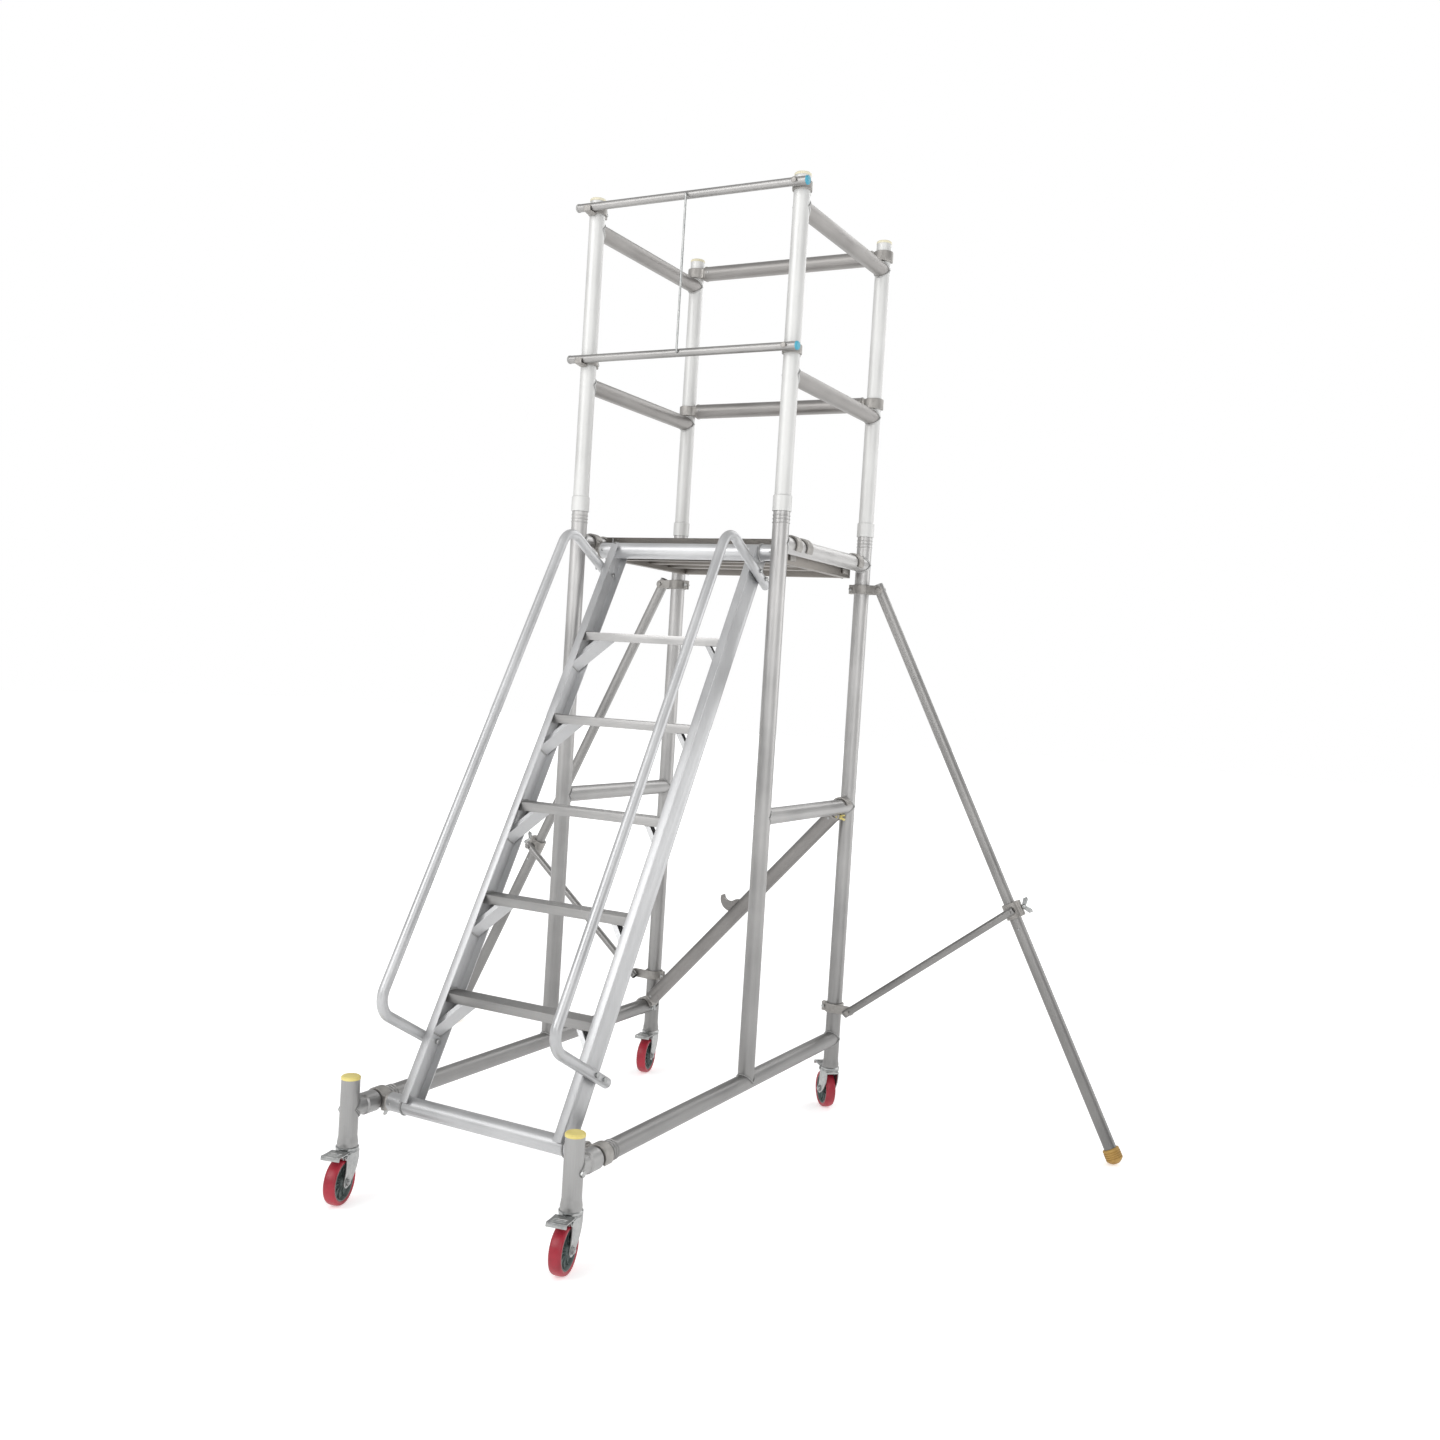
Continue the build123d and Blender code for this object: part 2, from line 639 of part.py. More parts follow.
def handrail(side):
    """A bent tube, as its runs and bends: a long run in front of the ladder and two legs to the stringer."""
    x = side * RAIL_X
    low, high = [ladder_point(x, up, HANDRAIL_OFFSET) for up in (RAIL_LOW, RAIL_HIGH)]
    low_end, high_end = [ladder_point(x, up, RAIL_END) for up in (RAIL_LOW, RAIL_HIGH)]
    cutters = [cross_rod(*spot, 200, 300, BOLT_R + RUNNING) for spot in bolt_spots if spot[0] == side]
    low_bend, low_leg, low_run = rail_bend(low, low_end, high)
    high_bend, high_leg, high_run = rail_bend(high, high_end, low)
    return [
        rail_run(low_end, low_leg, cutters),
        low_bend,
        rail_run(low_run, high_run, ()),
        high_bend,
        rail_run(high_leg, high_end, cutters),
    ]


save("handrails", *handrail(-1), *handrail(1))


def handrail_bolt(side, up, out):
    inner, outer = LADDER_HALF_W - STRINGER_WALL, RAIL_X + HANDRAIL_R
    plane = Plane(origin=ladder_point(side * (inner - 6), up, out), x_dir=UP, z_dir=(side, 0, 0))
    with BuildPart() as made:
        with BuildSketch(plane):
            RegularPolygon(7.5, 6)
        extrude(amount=6)
        with BuildSketch(plane):
            Circle(BOLT_R)
        extrude(amount=outer - inner + 12)
        with BuildSketch(plane.offset(outer - inner + 6)):
            RegularPolygon(7.5, 6)
        extrude(amount=6)
    return made.part


def leg_bolt(x):
    """A hexagon bolt head seated on the outer side of a front caster leg."""
    side = 1 if x > 0 else -1
    plane = Plane(origin=(x + side * 20, LEG_Y, BASE_Z - 8), x_dir=(0, 1, 0), z_dir=(side, 0, 0))
    with BuildPart() as made:
        with BuildSketch(plane):
            RegularPolygon(9, 6)
        extrude(amount=12)
        add(post_bar(x, LEG_Y), mode=Mode.SUBTRACT)
        add(side_bar(x, BASE_Z), mode=Mode.SUBTRACT)
    return made.part


save("frame_bolts", *[handrail_bolt(*spot) for spot in bolt_spots], *[leg_bolt(x) for x in SIDES])

# Gate: two bars that pivot on the right post, held parallel by a link rod, and resting in left cradles ------
GATE_Y = FRONT_Y - 45
GATE_BAR_R = 12.7
GATE_LEFT = -405
GATE_RIGHT = 400
GATE_PIN_R = 5
GATE_PIN_END = FRONT_Y - 63
LINK_R = 3.5
LINK_Y = FRONT_Y - 63
COLLAR_R = 30.5
COLLAR_HEIGHT = 28


def collar(x, z):
    """A clamp collar round a front guard post, with its clamp lug and bolt behind."""
    with BuildPart() as made:
        with BuildSketch(Plane(origin=(x, FRONT_Y, z - COLLAR_HEIGHT / 2))):
            Circle(COLLAR_R)
            with Locations((0, 36)):
                Rectangle(16, 22)
            Circle(TUBE_R, mode=Mode.SUBTRACT)
            with Locations((0, 38)):
                Rectangle(3, 30, mode=Mode.SUBTRACT)
        extrude(amount=COLLAR_HEIGHT)
    return made.part


def pivot_block(z):
    """The right post's collar with the pin that the gate bar turns on."""
    pin_plane = Plane(origin=(HALF_W, FRONT_Y - 27, z), x_dir=(1, 0, 0), z_dir=(0, -1, 0))
    with BuildPart() as made:
        add(collar(HALF_W, z))
        with BuildSketch(pin_plane):
            Circle(GATE_PIN_R)
        extrude(amount=36)
        with BuildSketch(pin_plane.offset(33)):
            Circle(GATE_PIN_R + 4)
        extrude(amount=5)
    return made.part


def cradle_block(z):
    """The left post's collar with the open cradle that the gate bar drops into."""
    plane = Plane(origin=(-HALF_W - 13, 0, 0), x_dir=(0, 1, 0), z_dir=(1, 0, 0))
    low = z - GATE_BAR_R - FREE
    with BuildPart() as made:
        add(collar(-HALF_W, z))
        with BuildSketch(plane):
            with BuildLine():
                Polyline(
                    (FRONT_Y - 27, low),
                    (GATE_Y - GATE_BAR_R - 1, low),
                    (GATE_Y - GATE_BAR_R - 1, z),
                    (GATE_Y - GATE_BAR_R - 5, z + 3),
                    (GATE_Y - GATE_BAR_R - 5, low - 4),
                    (FRONT_Y - 27, low - 9),
                    close=True,
                )
            make_face()
        extrude(amount=26)
        with BuildSketch(Plane(origin=(-HALF_W, FRONT_Y, z - COLLAR_HEIGHT))):
            Circle(TUBE_R)
        extrude(amount=2 * COLLAR_HEIGHT, mode=Mode.SUBTRACT)
    return made.part


gate_blocks = [pivot_block(z) for z in GATE_BAR_Z] + [cradle_block(z) for z in GATE_BAR_Z]
save("gate_brackets", *gate_blocks)


def gate_bar(z, link_clearance):
    with BuildPart() as made:
        add(tube((GATE_LEFT, GATE_Y, z), (GATE_RIGHT, GATE_Y, z), GATE_BAR_R, TUBE_WALL))
        pin_hole = rod((HALF_W, FRONT_Y, z), (HALF_W, GATE_Y - 40, z), GATE_PIN_R + RUNNING)
        link_hole = rod((0, FRONT_Y, z), (0, GATE_Y - 40, z), LINK_R + link_clearance)
        add(pin_hole, mode=Mode.SUBTRACT)
        add(link_hole, mode=Mode.SUBTRACT)
    return made.part


def gate_plug(end, inward, z):
    neck = GATE_BAR_R - TUBE_WALL - FIT
    brim = GATE_BAR_R + 0.6
    outline = [(0, 16), (neck, 16), (neck, 0), (brim, 0), (brim, -5), (GATE_BAR_R - 2, -8), (0, -8)]
    return turned(Plane(origin=(end, GATE_Y, z), x_dir=(0, 1, 0), z_dir=(inward, 0, 0)), outline)


for name, z, clearance in (("lower", GATE_BAR_Z[0], FREE), ("upper", GATE_BAR_Z[1], RUNNING)):
    save(f"gate_{name}_bar", gate_bar(z, clearance))
    save(f"gate_{name}_plugs", gate_plug(GATE_LEFT, 1, z), gate_plug(GATE_RIGHT, -1, z))

with BuildPart() as link_rod:
    with BuildLine():
        FilletPolyline(
            (0, GATE_Y + 10, GATE_BAR_Z[0]),
            (0, LINK_Y, GATE_BAR_Z[0]),
            (0, LINK_Y, GATE_BAR_Z[1]),
            (0, GATE_Y + 10, GATE_BAR_Z[1]),
            radius=LINK_R + 1,
        )
    with BuildSketch(Plane(origin=(0, GATE_Y + 10, GATE_BAR_Z[0]), x_dir=(1, 0, 0), z_dir=(0, -1, 0))):
        Circle(LINK_R)
    sweep()
save("gate_link_rod", link_rod.part)

# Outriggers ----------------------------------------------------------------------------------------
EXTENSION_END = 1988  # lengths along the leg from its top pivot
UPPER_END = 1420
FOOT_END = 2018
FOOT_R = 27.5
COUPLER_HEIGHT = 32
COUPLER_R = 32
CHEEK = 5
PIVOT_PIN_R = 5
CLAMP_R = 27
CLAMP_HEIGHT = 52
BOSS_REACH = 31
LUG_R = 15
WING_PIN_R = 4


def outrigger(side):
    """One side's outrigger, set up: its leg foot on the floor and its strut spread."""
    name = "right" if side > 0 else "left"
    azimuth = radians(OUTRIGGER_AZIMUTH)
    out = Vector(side * cos(azimuth), sin(azimuth), 0)
    fore = Vector(side * sin(azimuth), -cos(azimuth), 0)
    base = Vector(side * HALF_W, REAR_Y, 0)

    def at(reach, z, lateral=0):
        return base + out * reach + fore * lateral + Vector(0, 0, z)

    down = out * sin(LEG_ANGLE) - Vector(0, 0, cos(LEG_ANGLE))
    proud = out * cos(LEG_ANGLE) + Vector(0, 0, sin(LEG_ANGLE))
    top = at(PIVOT_R, TOP_PIVOT_Z)
    low = at(PIVOT_R, LOW_PIVOT_Z)

    def leg(length, lateral=0):
        return top + down * length + fore * lateral

    joint = leg(CLAMP_DISTANCE)
    leg_plane = Plane(origin=top, x_dir=proud, z_dir=down)

    def coupler(z):
        """A clamp collar that turns on the rear upright, with the ears that hold a pivot pin."""
        upper = z == TOP_PIVOT_Z
        cheeks = (LEG_R + 1, -LEG_R - 1 - CHEEK) if upper else (STRUT_SIDE - STRUT_R - 1 - 2 * CHEEK,)
        plane = Plane(origin=base + Vector(0, 0, z), x_dir=out, z_dir=fore)
        with BuildPart() as made:
            with BuildSketch(Plane(origin=base + Vector(0, 0, z - COUPLER_HEIGHT / 2), x_dir=out)):
                Circle(COUPLER_R)
            extrude(amount=COUPLER_HEIGHT)
            for start in cheeks:
                with BuildSketch(plane.offset(start)):
                    with Locations((PIVOT_R, 0)):
                        Circle(LUG_R)
                    with Locations((PIVOT_R / 2, 0)):
                        Rectangle(PIVOT_R, 2 * LUG_R)
                extrude(amount=CHEEK if upper else 2 * CHEEK)
            with BuildSketch(plane.offset(cheeks[-1] - 4)):
                with Locations((PIVOT_R, 0)):
                    Circle(PIVOT_PIN_R)
            extrude(amount=cheeks[0] - cheeks[-1] + CHEEK + 8 if upper else 2 * CHEEK + 2 * STRUT_R + 12)
            with BuildSketch(plane.offset(cheeks[0] + (CHEEK if upper else 2 * CHEEK + 2 * STRUT_R + 2))):
                with Locations((PIVOT_R, 0)):
                    RegularPolygon(9, 6)
            extrude(amount=6)
            with BuildSketch(Plane(origin=base + Vector(0, 0, z - COUPLER_HEIGHT / 2), x_dir=-out)):
                with Locations((COUPLER_R + 3, 0)):
                    Rectangle(18, 16)
            extrude(amount=COUPLER_HEIGHT)
            with BuildSketch(Plane(origin=base + Vector(0, 0, z - COUPLER_HEIGHT), x_dir=-out)):
                Circle(TUBE_R + FREE)
                with Locations((COUPLER_R + 8, 0)):
                    Rectangle(30, 4)
            extrude(amount=2 * COUPLER_HEIGHT, mode=Mode.SUBTRACT)
        return made.part

    save(f"{name}_outrigger_couplers", coupler(TOP_PIVOT_Z), coupler(LOW_PIVOT_Z))

    with BuildPart() as upper_tube:
        with BuildSketch(leg_plane.offset(-20)):
            Circle(LEG_R)
            Circle(LEG_R - TUBE_WALL, mode=Mode.SUBTRACT)
        extrude(amount=UPPER_END + 20)
        add(rod(leg(0, -40), leg(0, 40), PIVOT_PIN_R + RUNNING), mode=Mode.SUBTRACT)
    save(f"{name}_outrigger_upper_tube", upper_tube.part)

    collar_start = CLAMP_DISTANCE - CLAMP_HEIGHT / 2
    with BuildPart() as lower_tube:
        with BuildSketch(leg_plane.offset(collar_start)):
            Circle(EXTENSION_R)
            Circle(LEG_R + FREE, mode=Mode.SUBTRACT)
        extrude(amount=EXTENSION_END - collar_start)
        add(rod(joint, joint + proud * 60, WING_PIN_R + 1), mode=Mode.SUBTRACT)
    save(f"{name}_outrigger_lower_tube", lower_tube.part)

    foot_start = FOOT_END - 50
    foot_outline = [(0, FOOT_END), (12, FOOT_END), (FOOT_R, FOOT_END - 14), (FOOT_R, FOOT_END - 44)]
    foot_outline += [(FOOT_R - 2.5, foot_start), (EXTENSION_R, foot_start)]
    foot_outline += [(EXTENSION_R, EXTENSION_END), (0, EXTENSION_END)]
    save(f"{name}_outrigger_foot", turned(leg_plane, foot_outline))

    with BuildPart() as clamp:
        with BuildSketch(leg_plane.offset(collar_start)):
            Circle(CLAMP_R)
            with Locations((CLAMP_R, 0)):
                Rectangle(16, 26)
        extrude(amount=CLAMP_HEIGHT)
        with BuildSketch(Plane(origin=joint, x_dir=down, z_dir=fore)):
            Circle(LUG_R)
        extrude(amount=BOSS_REACH)
        with BuildSketch(leg_plane.offset(collar_start)):
            Circle(EXTENSION_R)
        extrude(amount=CLAMP_HEIGHT, mode=Mode.SUBTRACT)
        add(rod(joint, joint + proud * 60, WING_PIN_R + RUNNING), mode=Mode.SUBTRACT)
    save(f"{name}_outrigger_clamp", clamp.part)

    wing_plane = Plane(origin=joint + proud * (LEG_R + 0.8), x_dir=down, z_dir=proud)
    with BuildPart() as wing_bolt:
        with BuildSketch(wing_plane):
            Circle(WING_PIN_R)
        extrude(amount=24)
        with BuildSketch(wing_plane.offset(18)):
            Circle(7)
        extrude(amount=12)
        with BuildSketch(Plane(origin=wing_plane.origin, x_dir=down, z_dir=fore).offset(-2.5)):
            rise = fore.cross(down).dot(proud)
            with BuildLine():
                Polyline(
                    (-8, 20 * rise),
                    (8, 20 * rise),
                    (26, 32 * rise),
                    (26, 44 * rise),
                    (16, 44 * rise),
                    (0, 30 * rise),
                    (-16, 44 * rise),
                    (-26, 44 * rise),
                    (-26, 32 * rise),
                    close=True,
                )
            make_face()
        extrude(amount=5)
    save(f"{name}_outrigger_wing_bolt", wing_bolt.part)

    strut_dir = (joint - low).normalized()
    strut_start = low - strut_dir * 16 + fore * STRUT_SIDE
    strut_end = joint + strut_dir * 16 + fore * STRUT_SIDE
    bolt_plane = Plane(origin=joint + fore * (BOSS_REACH + 0.5), x_dir=down, z_dir=fore)
    with BuildPart() as strut:
        add(tube(strut_start, strut_end, STRUT_R, TUBE_WALL))
        add(rod(low, low + fore * 90, PIVOT_PIN_R + RUNNING), mode=Mode.SUBTRACT)
        with BuildSketch(bolt_plane):
            Circle(PIVOT_PIN_R)
        extrude(amount=STRUT_SIDE + STRUT_R - BOSS_REACH + 1)
        with BuildSketch(bolt_plane.offset(STRUT_SIDE + STRUT_R - BOSS_REACH - 1)):
            RegularPolygon(9, 6)
        extrude(amount=7)
    save(f"{name}_outrigger_strut", strut.part)


outrigger(-1)
outrigger(1)

# Casters -------------------------------------------------------------------------------------------
STEM_TOP = POST_BOTTOM + 60
SEAL_BOTTOM = POST_BOTTOM - 8
KINGPIN_R = 8
KINGPIN_END = 124
CROWN_LOW = 129
CROWN_HIGH = 135
CUP_TOP = SEAL_BOTTOM - FREE
FORK_INNER = TYRE_WIDTH / 2 + 2.5
FORK_WALL = 3
AXLE_R = 5
HUB_R = 14
PEDAL_PIN = (-42, 132)
PEDAL_HALF_W = 27
CASTERS = {
    "front_left": (-HALF_W, LEG_Y, 15),
    "front_right": (HALF_W, LEG_Y, 12),
    "rear_left": (-HALF_W, REAR_Y, 11),
    "rear_right": (HALF_W, REAR_Y, -137),
}


def stem(x, y):
    """The expander in a leg's foot, its black seal ring and the kingpin below it."""
    outline = [(0, KINGPIN_END), (12, KINGPIN_END), (12, CROWN_LOW - 0.5), (KINGPIN_R, CROWN_LOW - 0.5)]
    outline += [(KINGPIN_R, SEAL_BOTTOM), (31, SEAL_BOTTOM), (31, POST_BOTTOM - 2), (28, POST_BOTTOM)]
    outline += [(SPIGOT_R, POST_BOTTOM), (SPIGOT_R, STEM_TOP - 4), (SPIGOT_R - 4, STEM_TOP), (0, STEM_TOP)]
    return turned(upright_plane(x, y), outline)


save("caster_stems", *[stem(x, y) for x, y, _ in CASTERS.values()])


def wheel_outline(inner, outer, half_width, shoulder):
    return [
        (inner, -half_width),
        (outer - shoulder, -half_width),
        (outer, -half_width + shoulder),
        (outer, half_width - shoulder),
        (outer - shoulder, half_width),
        (inner, half_width),
    ]


def caster(name, x, y, trail_angle):
    """One caster. Its own frame has the swivel axis up Z and the wheel trailing toward -Y."""
    place = Location((x, y, 0), (0, 0, trail_angle))
    side_plane = Plane(origin=(0, 0, 0), x_dir=(0, 1, 0), z_dir=(1, 0, 0))
    axle_plane = Plane(origin=(0, -TRAIL, WHEEL_R), x_dir=(0, 1, 0), z_dir=(1, 0, 0))
    outer = FORK_INNER + FORK_WALL
    with BuildPart() as fork:
        with BuildSketch(Plane.XY.offset(CROWN_LOW)):
            with Locations((0, -3)):
                Rectangle(2 * outer, 62)
        extrude(amount=CROWN_HIGH - CROWN_LOW)
        with BuildSketch(Plane.XY.offset(CROWN_HIGH)):
            Circle(28)
        extrude(amount=CUP_TOP - CROWN_HIGH)
        for start in (-outer, FORK_INNER):
            with BuildSketch(side_plane.offset(start)):
                with BuildLine():
                    Polyline((-24, 50), (-TRAIL - 13, 70), (-40, 94), (-40, 122), (-46, CROWN_HIGH))
                    Polyline((-46, CROWN_HIGH), (27, CROWN_HIGH), (27, 114))
                    ThreePointArc((27, 114), (9, 76), (-24, 50))
                make_face()
                with Locations(PEDAL_PIN):
                    Circle(8)
                with Locations((-TRAIL, WHEEL_R)):
                    Circle(16)
            extrude(amount=FORK_WALL)
        with BuildSketch(Plane.XY.offset(CROWN_LOW - 2)):
            Circle(KINGPIN_R + RUNNING)
        extrude(amount=30, mode=Mode.SUBTRACT)
        with BuildSketch(side_plane.offset(-outer)):
            with Locations(PEDAL_PIN):
                Circle(3 + RUNNING)
            with Locations((-TRAIL, WHEEL_R)):
                Circle(AXLE_R + FIT)
        extrude(amount=2 * outer, mode=Mode.SUBTRACT)
    with BuildPart() as axle:
        with BuildSketch(axle_plane.offset(-outer - 6)):
            RegularPolygon(9, 6)
        extrude(amount=6)
        with BuildSketch(axle_plane.offset(-outer - 6)):
            Circle(AXLE_R)
        extrude(amount=2 * outer + 14)
        with BuildSketch(axle_plane.offset(outer)):
            RegularPolygon(9, 6)
        extrude(amount=6)
    save(f"{name}_caster_fork", place * fork.part, place * axle.part)

    half = TYRE_WIDTH / 2
    core_outline = [(AXLE_R + RUNNING, -half - 1), (HUB_R, -half - 1), (HUB_R, -4), (CORE_R - 6, -4)]
    core_outline += [(CORE_R - 3, -half + 2), (CORE_R, -half + 2), (CORE_R, half - 2), (CORE_R - 3, half - 2)]
    core_outline += [(CORE_R - 6, 4), (HUB_R, 4), (HUB_R, half + 1), (AXLE_R + RUNNING, half + 1)]
    save(f"{name}_caster_core", place * turned(axle_plane, core_outline))
    save(f"{name}_caster_tyre", place * turned(axle_plane, wheel_outline(CORE_R, WHEEL_R, half, 5)))

    with BuildPart() as pedal:
        with BuildSketch(side_plane.offset(-PEDAL_HALF_W)):
            with BuildLine():
                Polyline(
                    (-34, 144.5),
                    (-34, 141.5),
                    (-64, 142),
                    (-90, 144),
                    (-92, 135),
                    (-95, 136),
                    (-93, 147),
                    (-64, 145),
                    close=True,
                )
            make_face()
        extrude(amount=2 * PEDAL_HALF_W)
        with BuildSketch(side_plane.offset(-FORK_INNER + 1.5)):
            with BuildLine():
                Polyline((-36, 142), (-36, 129), (-42, 126), (-50, 125.5), (-56, 134), (-56, 142), close=True)
            make_face()
        extrude(amount=2 * FORK_INNER - 3)
        with BuildSketch(side_plane.offset(-outer - 3)):
            with Locations(PEDAL_PIN):
                Circle(3)
        extrude(amount=2 * outer + 6)
        for start in (-outer - 3, outer + 0.4):
            with BuildSketch(side_plane.offset(start)):
                with Locations(PEDAL_PIN):
                    Circle(4.5)
            extrude(amount=2.6)
    save(f"{name}_caster_pedal", place * pedal.part)


for name, (x, y, trail_angle) in CASTERS.items():
    caster(name, x, y, trail_angle)
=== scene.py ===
"""The looks of the mobile work platform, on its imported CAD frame: metres, the same axes and origin."""

import json
import math

import bmesh
import bpy
from mathutils import Matrix, Vector


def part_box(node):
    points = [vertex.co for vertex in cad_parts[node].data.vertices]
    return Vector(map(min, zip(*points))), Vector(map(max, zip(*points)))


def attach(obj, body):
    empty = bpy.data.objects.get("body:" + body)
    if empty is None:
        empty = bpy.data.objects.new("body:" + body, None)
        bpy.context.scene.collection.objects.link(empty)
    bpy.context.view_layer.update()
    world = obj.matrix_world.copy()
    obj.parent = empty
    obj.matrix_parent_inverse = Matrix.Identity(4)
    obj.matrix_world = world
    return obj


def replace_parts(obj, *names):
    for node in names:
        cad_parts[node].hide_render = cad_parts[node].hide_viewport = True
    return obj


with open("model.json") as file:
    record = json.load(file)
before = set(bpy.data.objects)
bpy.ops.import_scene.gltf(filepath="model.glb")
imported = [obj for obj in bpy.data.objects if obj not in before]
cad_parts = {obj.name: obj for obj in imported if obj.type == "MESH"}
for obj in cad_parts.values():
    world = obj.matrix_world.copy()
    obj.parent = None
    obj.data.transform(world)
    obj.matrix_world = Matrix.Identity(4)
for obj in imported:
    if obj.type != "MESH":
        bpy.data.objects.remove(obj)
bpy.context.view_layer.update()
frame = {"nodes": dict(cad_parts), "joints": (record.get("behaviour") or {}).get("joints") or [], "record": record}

BODY_OF = {node: body for body, nodes in frame["record"]["behaviour"]["bodies"].items() for node in nodes}
SLOT_OF = {row["node"]: row["material_slot"] for row in frame["record"]["subparts"]}
TUBE_R = 0.0254
SIDES = ("left", "right")


# Materials -------------------------------------------------------------
class Shader:
    """A material's node tree with short calls to grow it."""

    def __init__(self, name, **values):
        self.material = bpy.data.materials.new(name)
        self.material.use_nodes = True
        self.tree = self.material.node_tree
        self.bsdf = self.tree.nodes["Principled BSDF"]
        self.coords = self.tree.nodes.new("ShaderNodeTexCoord").outputs["Object"]
        for key, value in values.items():
            self.bsdf.inputs[key.replace("_", " ")].default_value = value

    def node(self, kind, inputs=(), **settings):
        made = self.tree.nodes.new(kind)
        for key, value in settings.items():
            setattr(made, key, value)
        for key, value in dict(inputs).items():
            if isinstance(value, bpy.types.NodeSocket):
                self.tree.links.new(value, made.inputs[key])
            else:
                made.inputs[key].default_value = value
        return made

    def stretched(self, scale):
        return self.node("ShaderNodeMapping", {"Vector": self.coords, "Scale": scale}).outputs[0]

    def noise(self, scale, detail=3, rough=0.55, vector=None):
        inputs = {"Vector": vector or self.coords, "Scale": scale, "Detail": detail, "Roughness": rough}
        return self.node("ShaderNodeTexNoise", inputs).outputs["Fac"]

    def ramp(self, source, *stops):
        made = self.node("ShaderNodeValToRGB", {"Fac": source})
        elements = made.color_ramp.elements
        while len(elements) < len(stops):
            elements.new(0.5)
        for element, (place, value) in zip(elements, stops):
            colour = value if isinstance(value, tuple) else (value, value, value)
            element.position = place
            element.color = (*colour, 1)
        return made.outputs["Color"]

    def mix(self, amount, first, second, blend="MIX"):
        made = self.node("ShaderNodeMix", {"Factor": amount}, data_type="RGBA", blend_type=blend)
        for socket, value in ((made.inputs[6], first), (made.inputs[7], second)):
            if isinstance(value, bpy.types.NodeSocket):
                self.tree.links.new(value, socket)
            else:
                socket.default_value = (*value, 1)
        return made.outputs[2]

    def add(self, first, second, weight):
        inputs = {0: second, 1: weight, 2: first}
        return self.node("ShaderNodeMath", inputs, operation="MULTIPLY_ADD").outputs[0]

    def paint(self, colour=None, rough=None, bump=None, depth=0.0005):
        if colour is not None:
            self.tree.links.new(colour, self.bsdf.inputs["Base Color"])
        if rough is not None:
            self.tree.links.new(rough, self.bsdf.inputs["Roughness"])
        if bump is not None:
            made = self.node("ShaderNodeBump", {"Height": bump, "Distance": depth, "Strength": 1.0})
            self.tree.links.new(made.outputs[0], self.bsdf.inputs["Normal"])
        return self.material


FLOOR_SHADE_TOP = 1.9  # metres up to where painted shade darkens the tubes towards the floor
LINE_DEPTH = 0.00012  # of the lines that drawing leaves


def drawn_metal(name, tones, rough, along, metallic=1.0, floor_shade_level=0.6):
    """Drawn or extruded metal: fine lines along one axis, cloudy tone, marks, and painted shade that darkens it
    towards the floor.
    """
    dark, light = tones
    made = Shader(name, Metallic=metallic)
    scale = [90.0, 90.0, 90.0]
    if along is not None:
        scale[along] = 1.4
    lines = made.noise(9.0, 4, 0.6, made.stretched(scale))
    clouds = made.noise(5.0, 3, 0.5)
    grain = made.noise(900.0, 2, 0.5)
    marks = made.ramp(made.noise(46.0, 5, 0.72), (0.62, 0.0), (0.72, 1.0))
    tone = made.ramp(made.add(clouds, lines, 0.5), (0.45, dark), (1.05, light))
    tone = made.mix(made.add(0.0, marks, 0.14), tone, tuple(value * 0.7 for value in dark))
    # Painted shade: the tone darkens towards the floor, up to the given height.
    height = made.node("ShaderNodeSeparateXYZ", {"Vector": made.coords}).outputs["Z"]
    reach = made.add(made.add(0.0, height, 1 / FLOOR_SHADE_TOP), clouds, 0.12)
    painted_floor_shade = made.ramp(reach, (0.05, floor_shade_level), (1.0, 1.0))
    tone = made.mix(1.0, tone, painted_floor_shade, "MULTIPLY")
    shine = made.ramp(made.add(clouds, lines, 0.4), (0.4, rough - 0.07), (0.9, rough + 0.10))
    relief = made.add(made.add(lines, grain, 0.35), marks, -0.3)
    return made.paint(tone, shine, relief, LINE_DEPTH)


def cast_metal(name, dark, light, rough):
    """Sand-cast alloy: a grainy skin with darker hollows."""
    made = Shader(name, Metallic=0.9)
    grain = made.noise(420.0, 4, 0.65)
    blotches = made.noise(26.0, 4, 0.6)
    tone = made.ramp(made.add(blotches, grain, 0.4), (0.45, dark), (0.9, light))
    shine = made.ramp(grain, (0.3, rough - 0.08), (0.7, rough + 0.1))
    return made.paint(tone, shine, made.add(grain, blotches, 0.5), 0.0005)


def zinc_plate(name):
    """Zinc-plated pressed steel: a faint spangle, brighter where it is rubbed."""
    made = Shader(name, Metallic=1.0)
    cells = made.node("ShaderNodeTexVoronoi", {"Vector": made.coords, "Scale": 160.0}).outputs["Color"]
    cell_tone = made.node("ShaderNodeSeparateColor", {"Color": cells}).outputs[0]
    clouds = made.noise(30.0, 4, 0.6)
    mottle = made.add(clouds, cell_tone, 0.25)
    tone = made.ramp(mottle, (0.4, (0.30, 0.31, 0.31)), (0.95, (0.50, 0.50, 0.49)))
    shine = made.ramp(clouds, (0.3, 0.26), (0.75, 0.42))
    return made.paint(tone, shine, made.noise(700.0, 3), 0.0001)


def moulded(name, dark, light, rough):
    """Moulded plastic or rubber with a fine spark-eroded grain and slight fading."""
    made = Shader(name)
    clouds = made.noise(16.0, 4, 0.6)
    grain = made.noise(600.0, 3, 0.6)
    tone = made.ramp(made.add(clouds, grain, 0.2), (0.4, dark), (0.8, light))
    shine = made.ramp(made.add(clouds, grain, 0.3), (0.4, rough - 0.08), (0.9, rough + 0.12))
    return made.paint(tone, shine, grain, 0.00015)


